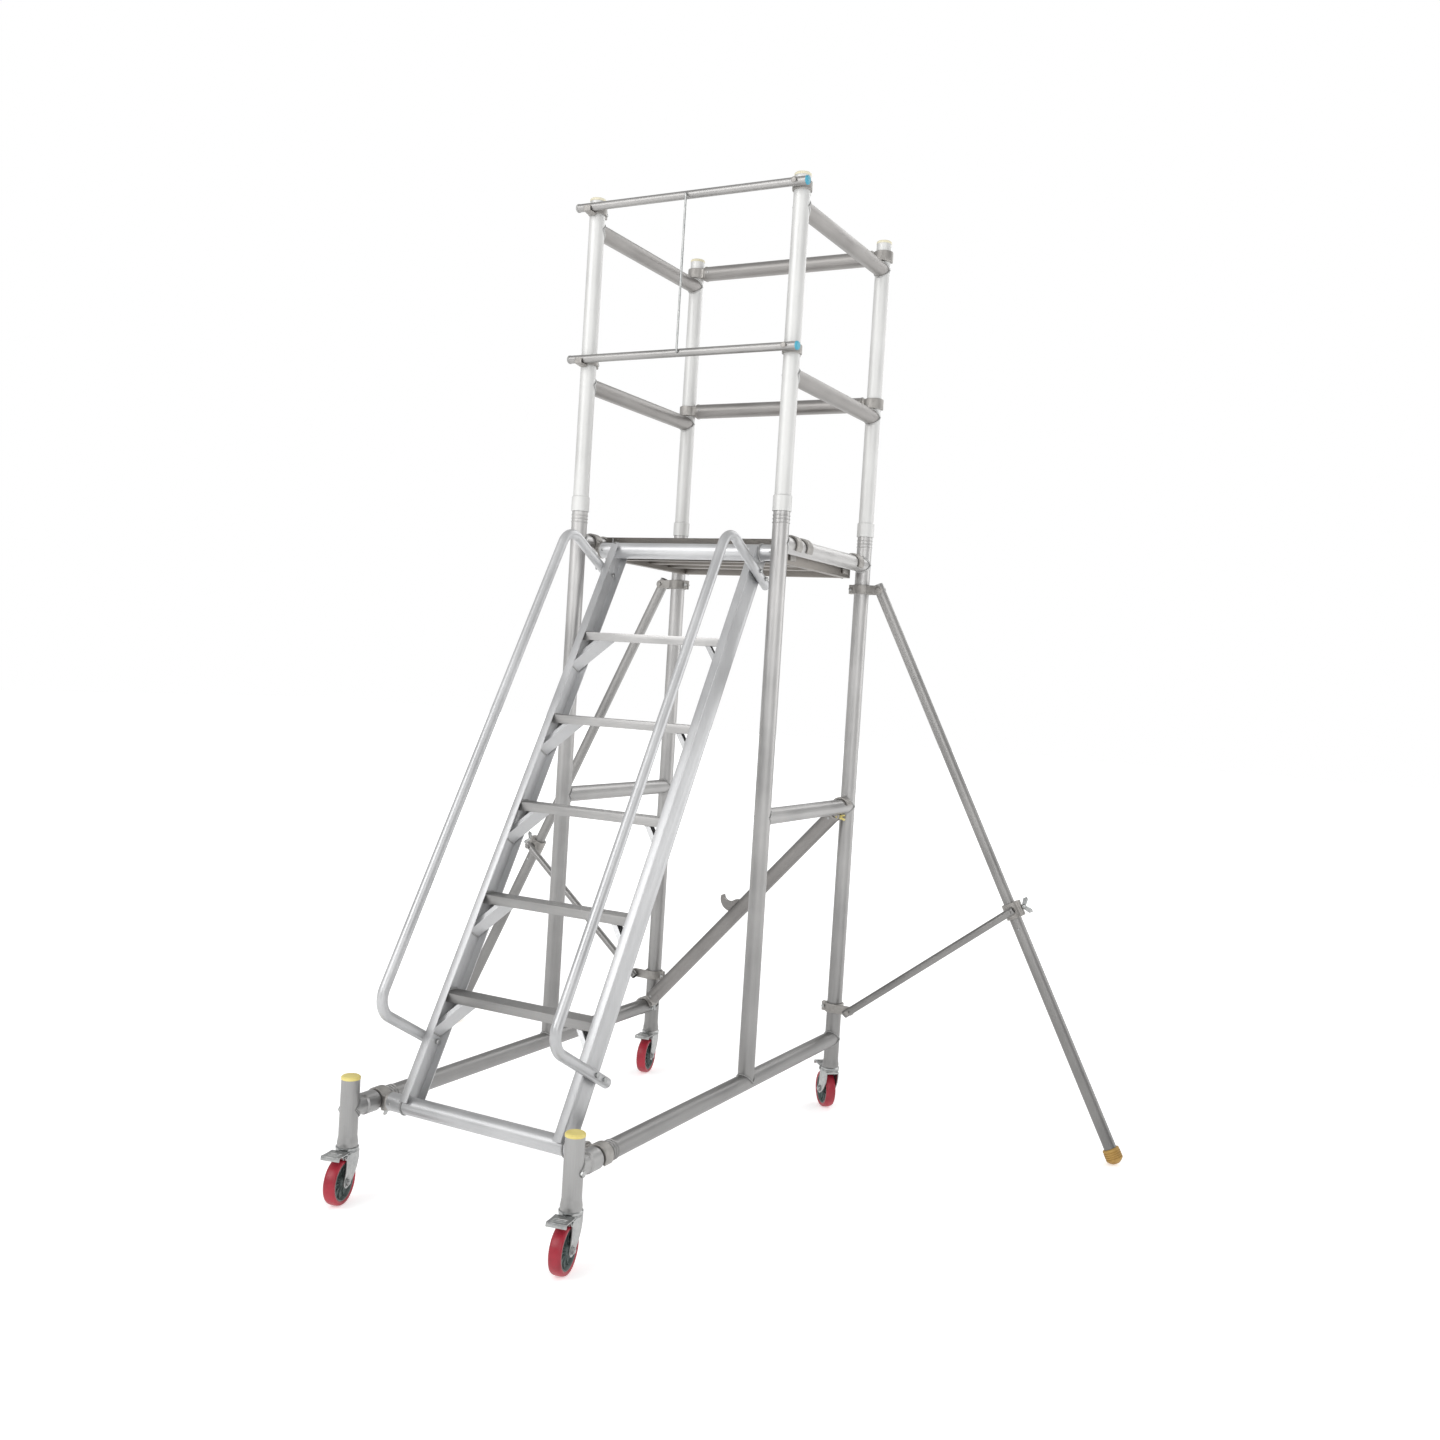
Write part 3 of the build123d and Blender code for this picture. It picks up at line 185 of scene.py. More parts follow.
def film_plywood(name):
    """Film-faced plywood: a dark phenolic film over faint long veneer grain."""
    made = Shader(name)
    grain = made.noise(6.0, 6, 0.62, made.stretched((3.0, 70.0, 3.0)))
    specks = made.noise(240.0, 2, 0.5)
    speckled = made.add(grain, specks, 0.15)
    tone = made.ramp(speckled, (0.42, (0.085, 0.062, 0.048)), (0.72, (0.20, 0.155, 0.12)))
    shine = made.ramp(grain, (0.35, 0.42), (0.7, 0.6))
    return made.paint(tone, shine, grain, 0.0004)


def three_ways(name, tones, rough, metallic=1.0, floor_shade_level=0.6):
    """The same drawn metal with its lines along X, Y or Z."""
    return [
        drawn_metal(f"{name}_{letter}", tones, rough, axis, metallic, floor_shade_level)
        for axis, letter in enumerate("xyz")
    ]


# Copies of one drawn alloy in several tones. The lighter copy for the upright guard posts and the darker copies
# for the rails, the brace, the gate bars and the outriggers are painted light and shade.
ALLOY = three_ways("alloy", ((0.40, 0.395, 0.39), (0.56, 0.553, 0.545)), 0.40, 0.9, 0.48)
BRIGHT = three_ways("bright", ((0.47, 0.474, 0.48), (0.63, 0.633, 0.64)), 0.36, 0.65, 0.82)
SHADED_TUBES = three_ways("shaded_tubes", ((0.29, 0.286, 0.28), (0.43, 0.422, 0.412)), 0.40, 0.9, 0.55)
LEG = three_ways("leg", ((0.37, 0.368, 0.365), (0.51, 0.506, 0.50)), 0.40, 0.8, 0.76)
SHADED_RAILS = three_ways("shaded_rails", ((0.24, 0.23, 0.222), (0.36, 0.348, 0.337)), 0.44, 0.85, 0.8)
DECK = three_ways("deck", ((0.20, 0.187, 0.172), (0.34, 0.318, 0.295)), 0.5)
LIT_POSTS = three_ways("post", ((0.56, 0.56, 0.55), (0.68, 0.68, 0.67)), 0.50, 0.45, 0.9)
CAST = cast_metal("cast_alloy", (0.26, 0.25, 0.238), (0.42, 0.405, 0.385), 0.52)
ZINC = zinc_plate("zinc_steel")
WELD = drawn_metal("weld_metal", ((0.36, 0.36, 0.36), (0.56, 0.56, 0.55)), 0.34, None)
CREAM = moulded("cream_plastic", (0.62, 0.57, 0.40), (0.78, 0.74, 0.58), 0.5)
YELLOW = moulded("yellow_plastic", (0.62, 0.50, 0.14), (0.80, 0.70, 0.26), 0.5)
GATE_CAP = moulded("blue_plastic", (0.03, 0.22, 0.32), (0.08, 0.42, 0.55), 0.45)
GREY_CAP = moulded("grey_plastic", (0.22, 0.22, 0.22), (0.36, 0.36, 0.35), 0.5)
PLY = film_plywood("film_plywood")
FOOT = moulded("foot_rubber", (0.28, 0.15, 0.03), (0.52, 0.33, 0.09), 0.6)
CORE = moulded("core_plastic", (0.05, 0.065, 0.062), (0.12, 0.15, 0.145), 0.42)
RED = moulded("red_tyre", (0.24, 0.006, 0.018), (0.40, 0.016, 0.036), 0.38)

MATERIAL_OF = {
    "cast_alloy": CAST,
    "zinc_steel": ZINC,
    "cap_plastic": CREAM,
    "gate_cap_plastic": GATE_CAP,
    "plywood": PLY,
    "foot_rubber": FOOT,
    "wheel_core": CORE,
    "red_tyre": RED,
}
METAL_SETS = {"tube_aluminium": ALLOY, "bright_aluminium": BRIGHT}
METAL_NODES = (
    (DECK, ("deck_frame",)),
    (ALLOY, ("ladder_treads",)),
    # Painted light: the tread brackets take the lighter, less metallic alloy to lift the shade on their inner
    # faces.
    (BRIGHT, ("tread_brackets", "ladder_end_tubes")),
    (LEG, ("front_legs",)),
    # Painted shade: the rails, the brace, the gate bars and the outriggers take darker copies of the alloy.
    (SHADED_RAILS, ("left_guard_frame", "right_guard_frame", "rear_guard_rails", "rear_brace")),
    (SHADED_TUBES, ("gate_upper_bar", "gate_lower_bar")),
    (SHADED_TUBES, [f"{side}_outrigger_{part}" for side in SIDES for part in ("upper_tube", "lower_tube", "strut")]),
)
NODE_METAL = {node: metal for metal, nodes in METAL_NODES for node in nodes}


# Meshes ----------------------------------------------------------------
def islands(mesh):
    """Lists of polygon indices, one list per separate solid of a mesh."""
    made = bmesh.new()
    made.from_mesh(mesh)
    made.faces.ensure_lookup_table()
    keys = {}
    for vertex in made.verts:
        keys.setdefault(tuple(round(value, 5) for value in vertex.co), []).append(vertex)
    seen, found = set(), []
    for face in made.faces:
        if face.index in seen:
            continue
        stack, group = [face], []
        seen.add(face.index)
        while stack:
            current = stack.pop()
            group.append(current.index)
            for vertex in current.verts:
                for twin in keys[tuple(round(value, 5) for value in vertex.co)]:
                    for near in twin.link_faces:
                        if near.index not in seen:
                            seen.add(near.index)
                            stack.append(near)
        found.append(group)
    made.free()
    return found


def long_axis(mesh, faces):
    points = [mesh.vertices[v].co for f in faces for v in mesh.polygons[f].vertices]
    spans = [max(p[n] for p in points) - min(p[n] for p in points) for n in range(3)]
    return spans.index(max(spans))


def finish_metal(obj, materials):
    """Gives each solid of a drawn-metal node the material whose lines run along it."""
    obj.data.materials.clear()
    for material in materials:
        obj.data.materials.append(material)
    for faces in islands(obj.data):
        axis = long_axis(obj.data, faces)
        for face in faces:
            obj.data.polygons[face].material_index = axis


def finish_plain(obj, material):
    obj.data.materials.clear()
    obj.data.materials.append(material)
    for polygon in obj.data.polygons:
        polygon.material_index = 0


for node, obj in frame["nodes"].items():
    if SLOT_OF[node] in METAL_SETS:
        finish_metal(obj, NODE_METAL.get(node, METAL_SETS[SLOT_OF[node]]))
    else:
        finish_plain(obj, MATERIAL_OF[SLOT_OF[node]])


# Building blocks -------------------------------------------------------
SHARP_EDGE = 0.5  # radians between two faces


class Solid:
    """Points and faces collected for one piece."""

    def __init__(self):
        self.points = []
        self.faces = []

    def add(self, points, faces):
        start = len(self.points)
        self.points += [tuple(point) for point in points]
        self.faces += [tuple(start + index for index in face) for face in faces]

    def skin(self, rings, closed_path=False):
        """Joins rings of equal length into a closed skin, capped where the path is open."""
        count = len(rings[0])
        points = [point for ring in rings for point in ring]
        faces = []
        for row in range(len(rings) if closed_path else len(rings) - 1):
            here, after = row * count, (row + 1) % len(rings) * count
            for step in range(count):
                turn = (step + 1) % count
                faces.append((here + step, here + turn, after + turn, after + step))
        if not closed_path:
            faces.append(tuple(range(count - 1, -1, -1)))
            faces.append(tuple(range(len(points) - count, len(points))))
        self.add(points, faces)

    def lathe(self, origin, axis, profile, steps):
        """Turns a closed outline of (radius, distance along the axis) points about an axis."""
        axis = Vector(axis).normalized()
        across = axis.orthogonal().normalized()
        other = axis.cross(across)
        rings = []
        for step in range(steps):
            angle = math.tau * step / steps
            outward = across * math.cos(angle) + other * math.sin(angle)
            rings.append([Vector(origin) + axis * along + outward * radius for radius, along in profile])
        count = len(profile)
        points = [point for ring in rings for point in ring]
        faces = []
        for step in range(steps):
            here, after = step * count, (step + 1) % steps * count
            for row in range(count):
                turn = (row + 1) % count
                faces.append((here + row, here + turn, after + turn, after + row))
        self.add(points, faces)

    def plate(self, outline, place, thickness, bevel):
        """A flat plate: outline lists (u, v) points, place turns (u, v, height) into a point."""
        made = bmesh.new()
        low = [made.verts.new((u, v, -thickness / 2)) for u, v in outline]
        high = [made.verts.new((u, v, thickness / 2)) for u, v in outline]
        made.faces.new(low[::-1])
        made.faces.new(high)
        for index in range(len(outline)):
            turn = (index + 1) % len(outline)
            made.faces.new((low[index], low[turn], high[turn], high[index]))
        made.normal_update()
        edges = [edge for edge in made.edges if edge.calc_face_angle(0) > SHARP_EDGE]
        bmesh.ops.bevel(made, geom=edges, offset=bevel, segments=2, profile=0.6, affect="EDGES")
        made.verts.ensure_lookup_table()
        made.verts.index_update()
        points = [place(*vertex.co) for vertex in made.verts]
        self.add(points, [[vertex.index for vertex in face.verts] for face in made.faces])
        made.free()

    def hexagon(self, origin, axis, radius, height):
        """A hexagon nut or head with its corners chamfered, its base at origin."""
        axis = Vector(axis).normalized()
        across = axis.orthogonal().normalized()
        other = axis.cross(across)

        def place(u, v, w):
            return Vector(origin) + across * u + other * v + axis * (w + height / 2)

        turns = [corner * math.pi / 3 for corner in range(6)]
        outline = [(radius * math.cos(turn), radius * math.sin(turn)) for turn in turns]
        self.plate(outline, place, height, radius * 0.09)


def piece(name, solid, body, material, slot, smooth_angle=35):
    """Makes the object, shades it smooth up to an angle, and lets it ride its body."""
    mesh = bpy.data.meshes.new(name)
    mesh.from_pydata(solid.points, [], solid.faces)
    return dress(bpy.data.objects.new(name, mesh), body, material, slot, smooth_angle)


def dress(obj, body, material, slot, smooth_angle):
    """Cleans and shades an object's mesh, gives it a material, and lets it ride its body."""
    mesh = obj.data
    if obj.name not in bpy.context.scene.collection.objects:
        bpy.context.scene.collection.objects.link(obj)
    made = bmesh.new()
    made.from_mesh(mesh)
    bmesh.ops.remove_doubles(made, verts=made.verts, dist=1e-7)
    bmesh.ops.dissolve_degenerate(made, edges=made.edges, dist=1e-7)
    bmesh.ops.recalc_face_normals(made, faces=made.faces)
    made.to_mesh(mesh)
    made.free()
    mesh.shade_smooth()
    mesh.set_sharp_from_angle(angle=math.radians(smooth_angle))
    finish_plain(obj, material)
    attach(obj, body)
    return obj


def rounded(node, width):
    """A copy of a CAD node's shape with its sharp edges broken."""
    source = frame["nodes"][node]
    made = bmesh.new()
    made.from_mesh(source.data)
    bmesh.ops.remove_doubles(made, verts=made.verts, dist=1e-6)
    bmesh.ops.dissolve_limit(made, angle_limit=math.radians(1), verts=made.verts, edges=made.edges)
    mesh = bpy.data.meshes.new(node + "_skin")
    made.to_mesh(mesh)
    made.free()
    obj = bpy.data.objects.new(node + "_skin", mesh)
    bpy.context.scene.collection.objects.link(obj)
    bevel = obj.modifiers.new("edges", "BEVEL")
    bevel.width = width
    bevel.segments = 2
    bevel.angle_limit = math.radians(30)
    bevel.limit_method = "ANGLE"
    bake(obj)
    return obj


def bake(obj):
    """Applies an object's modifiers to its mesh."""
    graph = bpy.context.evaluated_depsgraph_get()
    mesh = bpy.data.meshes.new_from_object(obj.evaluated_get(graph))
    obj.modifiers.clear()
    obj.data = mesh


CAST_MELT = 5  # rounds of smoothing
CAST_VOXEL = 0.0018
CLAMP_VOXEL = 0.0014


def casting(node, voxel):
    """A CAD node remade as a sand casting: every edge and corner melted a little."""
    mesh = frame["nodes"][node].data.copy()
    made = bmesh.new()
    made.from_mesh(mesh)
    bmesh.ops.remove_doubles(made, verts=made.verts, dist=1e-6)
    made.to_mesh(mesh)
    made.free()
    obj = bpy.data.objects.new(node + "_cast", mesh)
    bpy.context.scene.collection.objects.link(obj)
    remesh = obj.modifiers.new("remesh", "REMESH")
    remesh.mode = "VOXEL"
    remesh.voxel_size = voxel
    smooth = obj.modifiers.new("smooth", "SMOOTH")
    smooth.iterations = CAST_MELT
    smooth.factor = 0.5
    bake(obj)
    dress(obj, BODY_OF[node], CAST, SLOT_OF[node], 60)
    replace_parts(obj, node)


# Welds -----------------------------------------------------------------
BEAD_R = 0.0030
THIN_BEAD_R = 0.0024
FINE_BEAD_R = 0.0022
RIPPLE_PITCH = 0.0042
RIPPLE_DEPTH = 0.16
BEAD_STEP = 0.0011
SEAM_OFFSET = 0.0008  # from the edge that a bead follows to its middle
TREAD_SEAM_IN = 0.0012
TREAD_SEAM_OUT = 0.0006
SAME_FACE = 0.0005  # points this near each other's plane are on one face


def even_points(points, step, closed):
    """The same path with points at equal steps."""
    path = list(points) + ([points[0]] if closed else [])
    lengths = [0.0]
    for first, second in zip(path, path[1:]):
        lengths.append(lengths[-1] + (second - first).length)
    count = max(8, int(lengths[-1] / step))
    made, at = [], 0
    for index in range(count if closed else count + 1):
        goal = lengths[-1] * index / count
        while at < len(lengths) - 2 and lengths[at + 1] < goal:
            at += 1
        span = lengths[at + 1] - lengths[at]
        made.append(path[at].lerp(path[at + 1], (goal - lengths[at]) / span if span else 0))
    return made


def bead(solid, points, closed=True, radius=BEAD_R, sides=8):
    """A rippled weld bead along a path."""
    path = even_points(points, BEAD_STEP, closed)
    rings = []
    travelled = 0.0
    count = len(path)
    lean = None
    for index, point in enumerate(path):
        before = path[index - 1] if index or closed else point
        after = path[(index + 1) % count] if index < count - 1 or closed else point
        along = (after - before).normalized()
        if lean is None:
            lean = along.orthogonal().normalized()
        lean = (lean - along * lean.dot(along)).normalized()
        other = along.cross(lean)
        travelled += (point - before).length
        swell = radius * (1 + RIPPLE_DEPTH * math.sin(math.tau * travelled / RIPPLE_PITCH))
        ring = []
        for side in range(sides):
            turn = math.tau * side / sides
            ring.append(point + (lean * math.cos(turn) + other * math.sin(turn)) * swell)
        rings.append(ring)
    if not closed:
        rings[0] = [path[0].lerp(point, 0.4) for point in rings[0]]
        rings[-1] = [path[-1].lerp(point, 0.4) for point in rings[-1]]
    solid.skin(rings, closed)


def saddle(centre, along, across, radius, bar_radius, steps=96):
    """The line where a round tube that leaves centre along one axis meets a bar along another."""
    along, across = Vector(along).normalized(), Vector(across).normalized()
    third = along.cross(across)
    points = []
    for step in range(steps):
        turn = math.tau * step / steps
        reach = math.sqrt(max(bar_radius**2 - (radius * math.sin(turn)) ** 2, 0))
        points.append(
            Vector(centre) + along * reach + (across * math.cos(turn) + third * math.sin(turn)) * radius
        )
    return points


def solid_boxes(node):
    """The lowest and highest corner of each separate solid in a CAD node."""
    mesh = frame["nodes"][node].data
    boxes = []
    for faces in islands(mesh):
        points = [mesh.vertices[v].co for f in faces for v in mesh.polygons[f].vertices]
        low = Vector([min(p[n] for p in points) for n in range(3)])
        high = Vector([max(p[n] for p in points) for n in range(3)])
        boxes.append((low, high))
    return boxes


WELD_GAP = 0.01  # how near a tube's end lies to the axis that it is welded to


def tube_welds(node, solid):
    """Beads where the tubes of a welded frame meet: each tube's end against the tube it stops at."""
    boxes = solid_boxes(node)
    axes = [max(range(3), key=lambda n: (high - low)[n]) for low, high in boxes]
    seam = TUBE_R + BEAD_R * 0.35
    for (low, high), axis in zip(boxes, axes):
        middle = (low + high) / 2
        for end, sign in ((low, 1), (high, -1)):
            for (other_low, other_high), other_axis in zip(boxes, axes):
                if other_axis == axis:
                    continue
                other = (other_low + other_high) / 2
                third = 3 - axis - other_axis
                reaches = abs(end[axis] - other[axis]) < WELD_GAP
                level = abs(middle[third] - other[third]) < WELD_GAP
                lowest, highest = other_low[other_axis] - WELD_GAP, other_high[other_axis] + WELD_GAP
                if not (reaches and level and lowest < middle[other_axis] < highest):
                    continue
                centre = other.copy()
                centre[other_axis] = middle[other_axis]
                along = Vector([float(n == axis) for n in range(3)]) * sign
                across = Vector([float(n == other_axis) for n in range(3)])
                bead(solid, saddle(centre, along, across, seam, seam))


def box_outline(low, high, axis, at, grow):
    """A rectangle round a box's section at a place along an axis."""
    first, second = [n for n in range(3) if n != axis]
    corners = []
    for a, b in ((0, 0), (1, 0), (1, 1), (0, 1)):
        point = Vector((0, 0, 0))
        point[axis] = at
        point[first] = (high if a else low)[first] + (grow if a else -grow)
        point[second] = (high if b else low)[second] + (grow if b else -grow)
        corners.append(point)
    return corners


# Details ---------------------------------------------------------------
AXES = (Vector((1, 0, 0)), Vector((0, 1, 0)), Vector((0, 0, 1)))
JOINT = {joint["name"]: joint for joint in frame["joints"]}
CASTERS = ("front_left", "front_right", "rear_left", "rear_right")
TRIGGERS = ("brace_trigger_lower", "brace_trigger_upper", "ladder_trigger_left", "ladder_trigger_right")
ROUNDED_NODES = {
    "deck_frame": 0.0010,
    "ladder_treads": 0.0004,
    "ladder_stringers": 0.0010,
    "frame_bolts": 0.0006,
    "deck_board": 0.0008,
}


def joint_line(name):
    """A joint's place and direction."""
    joint = JOINT[name]
    return Vector(joint.get("pos_m") or (0, 0, 0)), Vector(joint["axis"]).normalized()


def node_points(node):
    return [vertex.co.copy() for vertex in frame["nodes"][node].data.vertices]


def round_node(node, width, material=None):
    """A piece that stands for a CAD node, with the node's sharp edges broken."""
    obj = rounded(node, width)
    slot = SLOT_OF[node]
    dress(obj, BODY_OF[node], material or MATERIAL_OF.get(slot, ZINC), slot, 32)
    if slot in METAL_SETS:
        finish_metal(obj, NODE_METAL.get(node, METAL_SETS[slot]))
    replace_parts(obj, node)


def dome(solid, origin, axis, radius, height):
    """A rivet or screw head."""
    profile = [(0, -height * 0.3), (radius, -height * 0.3), (radius, 0)]
    for step in range(1, 6):
        turn = math.pi / 2 * step / 6
        profile.append((radius * math.cos(turn), height * math.sin(turn)))
    profile.append((0, height))
    solid.lathe(origin, axis, profile, 24)


def washer(solid, origin, axis, inner, outer, thickness):
    edge = thickness * 0.25
    foot = [(inner, 0), (outer - edge, 0), (outer, edge)]
    head = [(outer, thickness - edge), (outer - edge, thickness), (inner, thickness)]
    solid.lathe(origin, axis, foot + head, 32)


LEG_CAPS_BELOW = 1.0  # metres; the caps above it close the guard posts


def colour_ends():
    """Two-tone plastic ends: grey on the gate's free ends, yellow on the caster legs."""
    caps = frame["nodes"]["tube_caps"]
    caps.data.materials.append(YELLOW)
    for faces in islands(caps.data):
        low = min(caps.data.vertices[v].co.z for v in caps.data.polygons[faces[0]].vertices)
        for face in faces:
            caps.data.polygons[face].material_index = int(low < LEG_CAPS_BELOW)
    for level in ("lower", "upper"):
        plugs = frame["nodes"][f"gate_{level}_plugs"]
        plugs.data.materials.append(GREY_CAP)
        for faces in islands(plugs.data):
            place = plugs.data.vertices[plugs.data.polygons[faces[0]].vertices[0]].co.x
            for face in faces:
                plugs.data.polygons[face].material_index = int(place < 0)


def lit_posts_and_shaded_rails():
    """The guard frames' upright posts take a lighter copy of the alloy, and their rails a darker one: painted
    light and shade.
    """
    for side in SIDES:
        mesh = frame["nodes"][f"{side}_guard_frame"].data
        mesh.materials.append(LIT_POSTS[2])
        for faces in islands(mesh):
            if long_axis(mesh, faces) == 2:
                for face in faces:
                    mesh.polygons[face].material_index = len(mesh.materials) - 1


WELDED_NODES = [f"{side}_{part}_frame" for part in ("side", "guard") for side in SIDES] + ["front_legs"]


def frame_welds():
    """Welds of the tube frames."""
    for node in WELDED_NODES:
        solid = Solid()
        tube_welds(node, solid)
        piece(node + "_welds", solid, BODY_OF[node], WELD, SLOT_OF[node], 60)


def tread_welds(solid):
    """Beads round each tread's ends."""
    for low, high in solid_boxes("ladder_treads"):
        for end in (low.x, high.x):
            inward = TREAD_SEAM_IN if end < 0 else -TREAD_SEAM_IN
            seam = box_outline(low, high, 0, end + inward, TREAD_SEAM_OUT)
            bead(solid, seam, radius=THIN_BEAD_R)


def gusset_welds(solid):
    """A bead along each gusset's foot, where its web meets the stringer."""
    treads = solid_boxes("ladder_treads")
    up = (treads[-1][0] - treads[0][0]).normalized()
    mesh = frame["nodes"]["tread_brackets"].data
    for faces in islands(mesh):
        points = [mesh.vertices[v].co for f in faces for v in mesh.polygons[f].vertices]
        reach = max(abs(point.x) for point in points)
        web = [point for point in points if abs(point.x) > reach - SAME_FACE]
        foot = min(point.dot(up) for point in web)
        lowest = [point for point in web if point.dot(up) < foot + SAME_FACE]
        edge = sorted(lowest, key=lambda point: point.y)
        inward = Vector((-math.copysign(SEAM_OFFSET, edge[0].x), 0, 0))
        bead(solid, [edge[0] + inward, edge[-1] + inward], False, FINE_BEAD_R)


def end_tube_welds(solid):
    """Beads round the foot and top tubes, outside each stringer."""
    radius = TUBE_R + 0.001
    turns = [math.tau * step / 64 for step in range(64)]
    for low, high in solid_boxes("ladder_end_tubes"):
        centre = (low + high) / 2
        for box_low, box_high in solid_boxes("ladder_stringers"):
            outward = 1 if box_low.x + box_high.x > 0 else -1
            x = (box_high.x if outward > 0 else box_low.x) + outward * SEAM_OFFSET
            ring = [
                Vector((x, centre.y + radius * math.cos(turn), centre.z + radius * math.sin(turn)))
                for turn in turns
            ]
            bead(solid, ring, radius=THIN_BEAD_R)


def ladder_welds():
    solid = Solid()
    tread_welds(solid)
    gusset_welds(solid)
    end_tube_welds(solid)
    piece("ladder_welds", solid, BODY_OF["ladder_stringers"], WELD, SLOT_OF["ladder_stringers"], 60)


# Deck
BEAM_WIDTH = 0.026
BEAM_EDGE = 0.002
CORNER_EDGE = 0.003
DECK_SCREWS = 5  # along each edge
SCREW_INSET = 0.016
SCREW_HEAD = (0.0048, 0.0012)


def deck_welds():
    """Beads at the corners of the deck's beams."""
    low, high = (Vector(corner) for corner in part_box("deck_frame"))
    welds = Solid()
    for inward, x in ((1, low.x), (-1, high.x)):
        for along, y in ((1, low.y), (-1, high.y)):
            x_seam = x + inward * BEAM_WIDTH
            foot = Vector((x_seam, y + along * BEAM_EDGE, low.z))
            run = Vector((0, along * (BEAM_WIDTH - 2 * BEAM_EDGE), 0))
            bead(welds, [foot, foot + run], False, FINE_BEAD_R)
            edge = [Vector((x_seam, y, low.z + CORNER_EDGE)), Vector((x_seam, y, high.z - CORNER_EDGE))]
            bead(welds, edge, False, FINE_BEAD_R)
    piece("deck_welds", welds, BODY_OF["deck_frame"], WELD, SLOT_OF["deck_frame"], 60)


def deck_screws():
    """Low domed heads round the edge of the board."""
    low, high = (Vector(corner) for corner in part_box("deck_board"))
    screws = Solid()
    for step in range(DECK_SCREWS):
        part = step / (DECK_SCREWS - 1)
        for x in (low.x + SCREW_INSET, high.x - SCREW_INSET):
            y = low.y + SCREW_INSET + part * (high.y - low.y - 2 * SCREW_INSET)
            dome(screws, (x, y, high.z), AXES[2], *SCREW_HEAD)
        for y in (low.y + SCREW_INSET, high.y - SCREW_INSET):
            x = low.x + SCREW_INSET + part * (high.x - low.x - 2 * SCREW_INSET)
            if 0 < step < DECK_SCREWS - 1:
                dome(screws, (x, y, high.z), AXES[2], *SCREW_HEAD)
    piece("deck_screws", screws, BODY_OF["deck_board"], ZINC, "zinc_steel")


# Casters: profiles list (radius, distance along the axis)
TYRE_PROFILE = (
    (0.0500, 0.0140),
    (0.0530, 0.0163),
    (0.0565, 0.0170),
    (0.0592, 0.0160),
    (0.0612, 0.0130),
    (0.0621, 0.0085),
    (0.0625, 0.0035),
)
CORE_PROFILE = (
    (0.0056, 0.0178),
    (0.0125, 0.0178),
    (0.0138, 0.0165),
    (0.0148, 0.0060),
    (0.0175, 0.0040),
    (0.0400, 0.0040),
    (0.0440, 0.0060),
    (0.0462, 0.0130),
    (0.0475, 0.0150),
    (0.0498, 0.0150),
    (0.0507, 0.0140),
)
CORE_RIBS = 10
RIB_OUTLINE = ((0.0135, 0.0030), (0.0135, 0.0115), (0.0300, 0.0072), (0.0455, 0.0100), (0.0455, 0.0030))
RIB_THICKNESS = 0.0026
RIB_BEVEL = 0.0005
BEARING_OUT = 0.0174  # from the wheel's middle plane
BEARING = (0.0053, 0.0098, 0.0016)  # inner radius, outer radius, thickness
WASHER_OUT = 0.0226
AXLE_WASHER = (0.006, 0.0118, 0.0014)
AXLE_HEAD = (0.0058, 0.0016)
AXLE_HEAD_SUNK = 0.0004
SWIVEL_RACE_Z = 0.1352
SWIVEL_RACE = (
    (0.020, 0),
    (0.0292, 0),
    (0.0300, 0.0008),
    (0.0300, 0.0022),
    (0.0288, 0.0028),
    (0.0300, 0.0034),
    (0.0300, 0.0052),
    (0.0290, 0.0060),
    (0.020, 0.0060),
)
PEDAL_RIDGES = ((0.062, 0.1452), (0.072, 0.1458), (0.082, 0.1464))  # reach from the swivel axis, height
RIDGE_HALF = 0.019
RIDGE_R = 0.0016


def mirrored(profile):
    """A closed profile from its half on one side of the wheel's middle plane."""
    below = [(radius, -along) for radius, along in profile]
    return below + [(radius, along) for radius, along in profile[::-1]]


def wheel_rib(core, centre, axle, face, out):
    """One rib on one face of the wheel's core, pointing out from the axle."""
    side = axle.cross(out)

    def place(u, v, w):
        return centre + out * u + axle * face * v + side * w

    core.plate(RIB_OUTLINE, place, RIB_THICKNESS, RIB_BEVEL)


def wheel(name, centre, axle, trail):
    """Tyre, ribbed core and bearings, which all turn on the axle."""
    body = f"{name}_wheel"
    tyre = Solid()
    tyre.lathe(centre, axle, mirrored(TYRE_PROFILE), 96)
    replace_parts(piece(f"{name}_tyre", tyre, body, RED, "red_tyre", 50), f"{name}_caster_tyre")
    core = Solid()
    core.lathe(centre, axle, mirrored(CORE_PROFILE), 96)
    for index in range(CORE_RIBS):
        turn = math.tau * index / CORE_RIBS
        out = trail * math.cos(turn) + AXES[2] * math.sin(turn)
        for face in (-1, 1):
            wheel_rib(core, centre, axle, face, out)
    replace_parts(piece(f"{name}_core", core, body, CORE, "wheel_core", 40), f"{name}_caster_core")
    races = Solid()
    for face in (-1, 1):
        washer(races, centre + axle * face * BEARING_OUT, axle * face, *BEARING)
    piece(f"{name}_bearing", races, body, ZINC, "zinc_steel")


